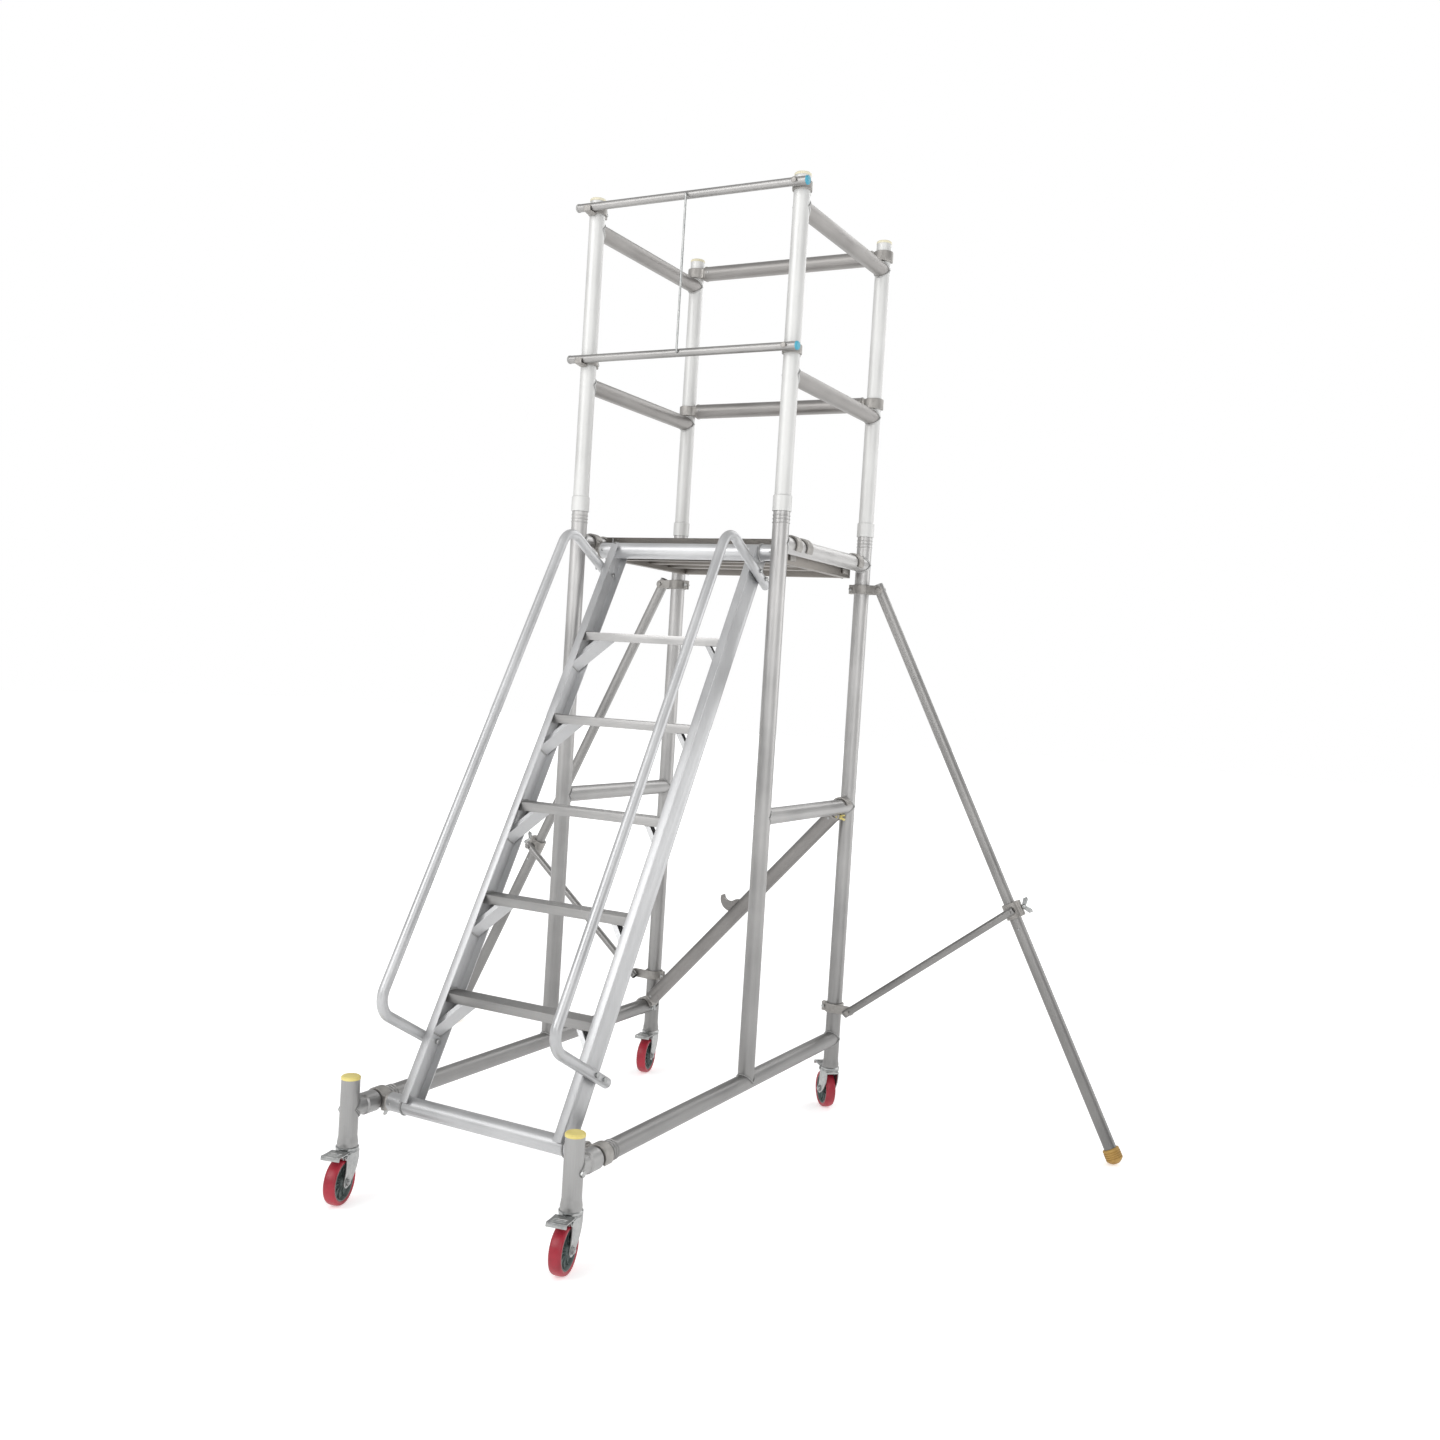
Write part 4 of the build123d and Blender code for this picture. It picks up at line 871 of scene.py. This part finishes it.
def caster(name):
    centre, axle = joint_line(f"{name}_wheel_spin")
    swivel, _ = joint_line(f"{name}_swivel_turn")
    trail = Vector((centre.x - swivel.x, centre.y - swivel.y, 0)).normalized()
    wheel(name, centre, axle, trail)

    round_node(f"{name}_caster_fork", 0.0009)
    hardware = Solid()
    edge = max((point - centre).dot(axle) for point in node_points(f"{name}_caster_fork"))
    for face in (-1, 1):
        washer(hardware, centre + axle * face * WASHER_OUT, axle * face, *AXLE_WASHER)
        dome(hardware, centre + axle * face * (edge - AXLE_HEAD_SUNK), axle * face, *AXLE_HEAD)
    hardware.lathe((swivel.x, swivel.y, SWIVEL_RACE_Z), AXES[2], SWIVEL_RACE, 72)
    piece(f"{name}_hardware", hardware, f"{name}_swivel", ZINC, "zinc_steel")

    round_node(f"{name}_caster_pedal", 0.0010)
    ridges = Solid()
    for reach, height in PEDAL_RIDGES:
        spot = Vector((swivel.x, swivel.y, height)) + trail * reach
        bead(ridges, [spot - axle * RIDGE_HALF, spot + axle * RIDGE_HALF], False, RIDGE_R)
    piece(f"{name}_pedal_ridges", ridges, f"{name}_brake", ZINC, "zinc_steel", 60)


# Outriggers: the foot's profile lists (radius, distance back from its end)
FOOT_TIP = ((0, 0), (0.0085, 0), (0.0125, 0.0010), (0.0205, 0.0068), (0.0262, 0.0125))
FOOT_RIBS = 4
RIB_START = 0.0150
RIB_PITCH = 0.0066
FOOT_RIB = ((0.0274, 0), (0.0275, 0.0036), (0.0256, 0.0042), (0.0256, 0.0060))
FOOT_NECK = ((0.0272, 0.0435), (0.0262, 0.0478), (0.0232, 0.0497), (0.0204, 0.0500))
FOOT_BORE = 0.0202
EXTENSION_R = 0.020
SNAP_PLACE = 1.225  # along the leg from its top pivot, below the strut's clamp
SNAP_BUTTON = (0.0045, 0.0022)
COUPLER_SCREW = (0.0058, 0.0042)
LUG_BACK = 0.0385
LUG_HALF = 0.0078


def outrigger_foot(side, top, down):
    """A ribbed rubber foot, turned about the leg."""
    node = f"{side}_outrigger_foot"
    reach = [(point - top).dot(down) for point in node_points(node)]
    end, start = max(reach), min(reach)
    back = list(FOOT_TIP)
    for index in range(FOOT_RIBS):
        back += [(radius, RIB_START + index * RIB_PITCH + along) for radius, along in FOOT_RIB]
    back += FOOT_NECK
    profile = [(radius, end - along) for radius, along in back] + [(FOOT_BORE, start), (0, start)]
    foot = Solid()
    foot.lathe(top, down, profile, 72)
    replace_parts(piece(f"{side}_foot", foot, f"{side}_extension", FOOT, "foot_rubber", 40), node)


def outrigger(side):
    """The foot, the snap buttons on the lower tube, and the couplers' clamp screws."""
    top, _ = joint_line(f"{side}_outrigger_fold")
    strut, _ = joint_line(f"{side}_strut_fold")
    upright, _ = joint_line(f"{side}_outrigger_swing")
    down = -joint_line(f"{side}_extension_slide")[1]
    outrigger_foot(side, top, down)

    buttons = Solid()
    fore = AXES[2].cross(down).normalized()
    for face in (-1, 1):
        spot = top + down * SNAP_PLACE + fore * face * EXTENSION_R
        dome(buttons, spot, fore * face, *SNAP_BUTTON)
    piece(f"{side}_snap_buttons", buttons, f"{side}_extension", ZINC, "zinc_steel")

    screws = Solid()
    for pivot in (top, strut):
        out = Vector((pivot.x - upright.x, pivot.y - upright.y, 0)).normalized()
        across = AXES[2].cross(out)
        lug = Vector((upright.x, upright.y, pivot.z)) - out * LUG_BACK
        for face in (-1, 1):
            screws.hexagon(lug + across * face * LUG_HALF, across * face, *COUPLER_SCREW)
    piece(f"{side}_coupler_screws", screws, f"{side}_swing", ZINC, "zinc_steel")


# Fasteners of the claws and the gate brackets
RIVET_INSET = 0.012
RIVET_HEAD = (0.0042, 0.0018)
GATE_SCREW = (0.0062, 0.0045)
SHORTEST_TUBE = 0.3
POST_X = 0.365
POST_BACK = 0.045  # from the gate's pivot to the post's axis
COLLAR_BACK = 0.0395


def claw_rivets():
    """The rivets that hold each claw's casting in its tube."""
    solid = Solid()
    for node in ("rear_guard_rails", "ladder_end_tubes", "rear_brace"):
        for low, high in solid_boxes(node):
            if (high - low).x < SHORTEST_TUBE:
                continue
            centre = (low + high) / 2
            if node == "rear_brace":
                run = Vector((high.x - low.x, 0, high.z - low.z))
                lift = math.atan2(run.z, run.x)
                along = Vector((math.cos(lift), 0, math.sin(lift)))
                length = run.length - 2 * TUBE_R * 0.9
                normal = AXES[1]
            else:
                along, length, normal = AXES[0], high.x - low.x, -AXES[1]
            for face in (-1, 1):
                spot = centre + along * face * (length / 2 - RIVET_INSET)
                for turn in (-1, 1):
                    dome(solid, spot + normal * turn * TUBE_R, normal * turn, *RIVET_HEAD)
    piece("claw_rivets", solid, "frame", ZINC, "zinc_steel")


def gate_screws():
    """Clamp screws behind the collars of the gate's brackets."""
    screws = Solid()
    y = joint_line("gate_lift")[0].y + POST_BACK + COLLAR_BACK
    for x in (-POST_X, POST_X):
        for name in ("gate_lift", "gate_lower_pivot"):
            z = joint_line(name)[0].z
            for face in (-1, 1):
                screws.hexagon((x + face * LUG_HALF, y, z), AXES[0] * face, *GATE_SCREW)
    piece("gate_screws", screws, "frame", ZINC, "zinc_steel")


colour_ends()
lit_posts_and_shaded_rails()
frame_welds()
ladder_welds()
deck_welds()
deck_screws()
for node in ("tube_claws", "gate_brackets", "deck_hooks"):
    casting(node, CAST_VOXEL)
for side in SIDES:
    casting(f"{side}_outrigger_couplers", CLAMP_VOXEL)
    casting(f"{side}_outrigger_clamp", CLAMP_VOXEL)
    round_node(f"{side}_outrigger_wing_bolt", 0.0012)
    outrigger(side)
for node, width in ROUNDED_NODES.items():
    round_node(node, width)
for node in TRIGGERS:
    round_node(node, 0.0008, YELLOW if node == "brace_trigger_upper" else None)
for name in CASTERS:
    caster(name)
claw_rivets()
gate_screws()


# Stage -----------------------------------------------------------------
CAMERA_PLACE = (2.192, -3.6138, 1.476)
CAMERA_TURN = math.radians(28.0)
CAMERA_PITCH = math.radians(-1.78)
CAMERA_ROLL = math.radians(3.59)
LENS = 34.434
ROOM_GLOW = 0.60
FLOOR_REACH = 30
FLOOR_GLOW = {"From Min": 2.0, "From Max": 9.0, "To Min": 0.42, "To Max": 0.80}
LIGHTS = (  # name, place, target, size, power
    ("key", (-2.5, -6.0, 5.0), (0, 0, 2.0), 5.0, 210),
    ("fill", (5.0, -6.5, 4.5), (0, 0, 2.2), 6.0, 150),
    ("back", (1.0, 5.5, 5.0), (0, 0, 1.8), 4.0, 80),
    ("side", (6.0, 4.5, 2.4), (0, 0, 1.4), 4.0, 70),
)


def set_camera():
    ahead = Vector((-math.sin(CAMERA_TURN), math.cos(CAMERA_TURN), 0))
    forward = ahead * math.cos(CAMERA_PITCH) + AXES[2] * math.sin(CAMERA_PITCH)
    level = Vector((math.cos(CAMERA_TURN), math.sin(CAMERA_TURN), 0))
    above = level.cross(forward)
    right = level * math.cos(CAMERA_ROLL) + above * math.sin(CAMERA_ROLL)
    up = above * math.cos(CAMERA_ROLL) - level * math.sin(CAMERA_ROLL)
    camera = bpy.data.objects.new("camera", bpy.data.cameras.new("camera"))
    camera.data.lens = LENS
    camera.data.sensor_width = 36
    camera.data.clip_start = 0.05
    camera.data.clip_end = 200
    turned = Matrix((right, up, -forward)).transposed()
    camera.matrix_world = Matrix.Translation(CAMERA_PLACE) @ turned.to_4x4()
    bpy.context.scene.collection.objects.link(camera)
    bpy.context.scene.camera = camera


def area_light(name, place, target, size, power):
    light = bpy.data.objects.new(name, bpy.data.lights.new(name, "AREA"))
    light.data.shape = "DISK"
    light.data.size = size
    light.data.energy = power
    light.location = place
    light.rotation_euler = (Vector(target) - Vector(place)).to_track_quat("-Z", "Y").to_euler()
    bpy.context.scene.collection.objects.link(light)


def set_floor():
    """A pale floor that glows more toward its far edge."""
    corners = [(x * FLOOR_REACH, y * FLOOR_REACH, 0) for x, y in ((-1, -1), (1, -1), (1, 1), (-1, 1))]
    mesh = bpy.data.meshes.new("floor")
    mesh.from_pydata(corners, [], [(0, 1, 2, 3)])
    floor = bpy.data.objects.new("floor", mesh)
    bpy.context.scene.collection.objects.link(floor)
    made = Shader("floor_paint", Roughness=0.9, Emission_Color=(1, 1, 1, 1))
    tone = made.ramp(made.noise(0.8, 3), (0.3, 0.86), (0.7, 0.89))
    away = made.node("ShaderNodeVectorMath", {0: made.coords}, operation="LENGTH").outputs["Value"]
    lift = made.node("ShaderNodeMapRange", {"Value": away, **FLOOR_GLOW})
    made.tree.links.new(lift.outputs[0], made.bsdf.inputs["Emission Strength"])
    mesh.materials.append(made.paint(tone))


def set_world():
    """Soft even room light, with a white backdrop behind the object."""
    world = bpy.data.worlds.new("studio")
    world.use_nodes = True
    tree = world.node_tree
    glow = tree.nodes["Background"]
    glow.inputs["Color"].default_value = (1, 1, 1, 1)
    glow.inputs["Strength"].default_value = ROOM_GLOW
    backdrop = tree.nodes.new("ShaderNodeBackground")
    backdrop.inputs["Color"].default_value = (1, 1, 1, 1)
    backdrop.inputs["Strength"].default_value = 1.0
    chosen = tree.nodes.new("ShaderNodeMixShader")
    rays = tree.nodes.new("ShaderNodeLightPath")
    tree.links.new(rays.outputs["Is Camera Ray"], chosen.inputs[0])
    tree.links.new(glow.outputs[0], chosen.inputs[1])
    tree.links.new(backdrop.outputs[0], chosen.inputs[2])
    tree.links.new(chosen.outputs[0], tree.nodes["World Output"].inputs["Surface"])
    bpy.context.scene.world = world
    bpy.context.scene.view_settings.view_transform = "Standard"


set_camera()
set_floor()
set_world()
for light in LIGHTS:
    area_light(*light)
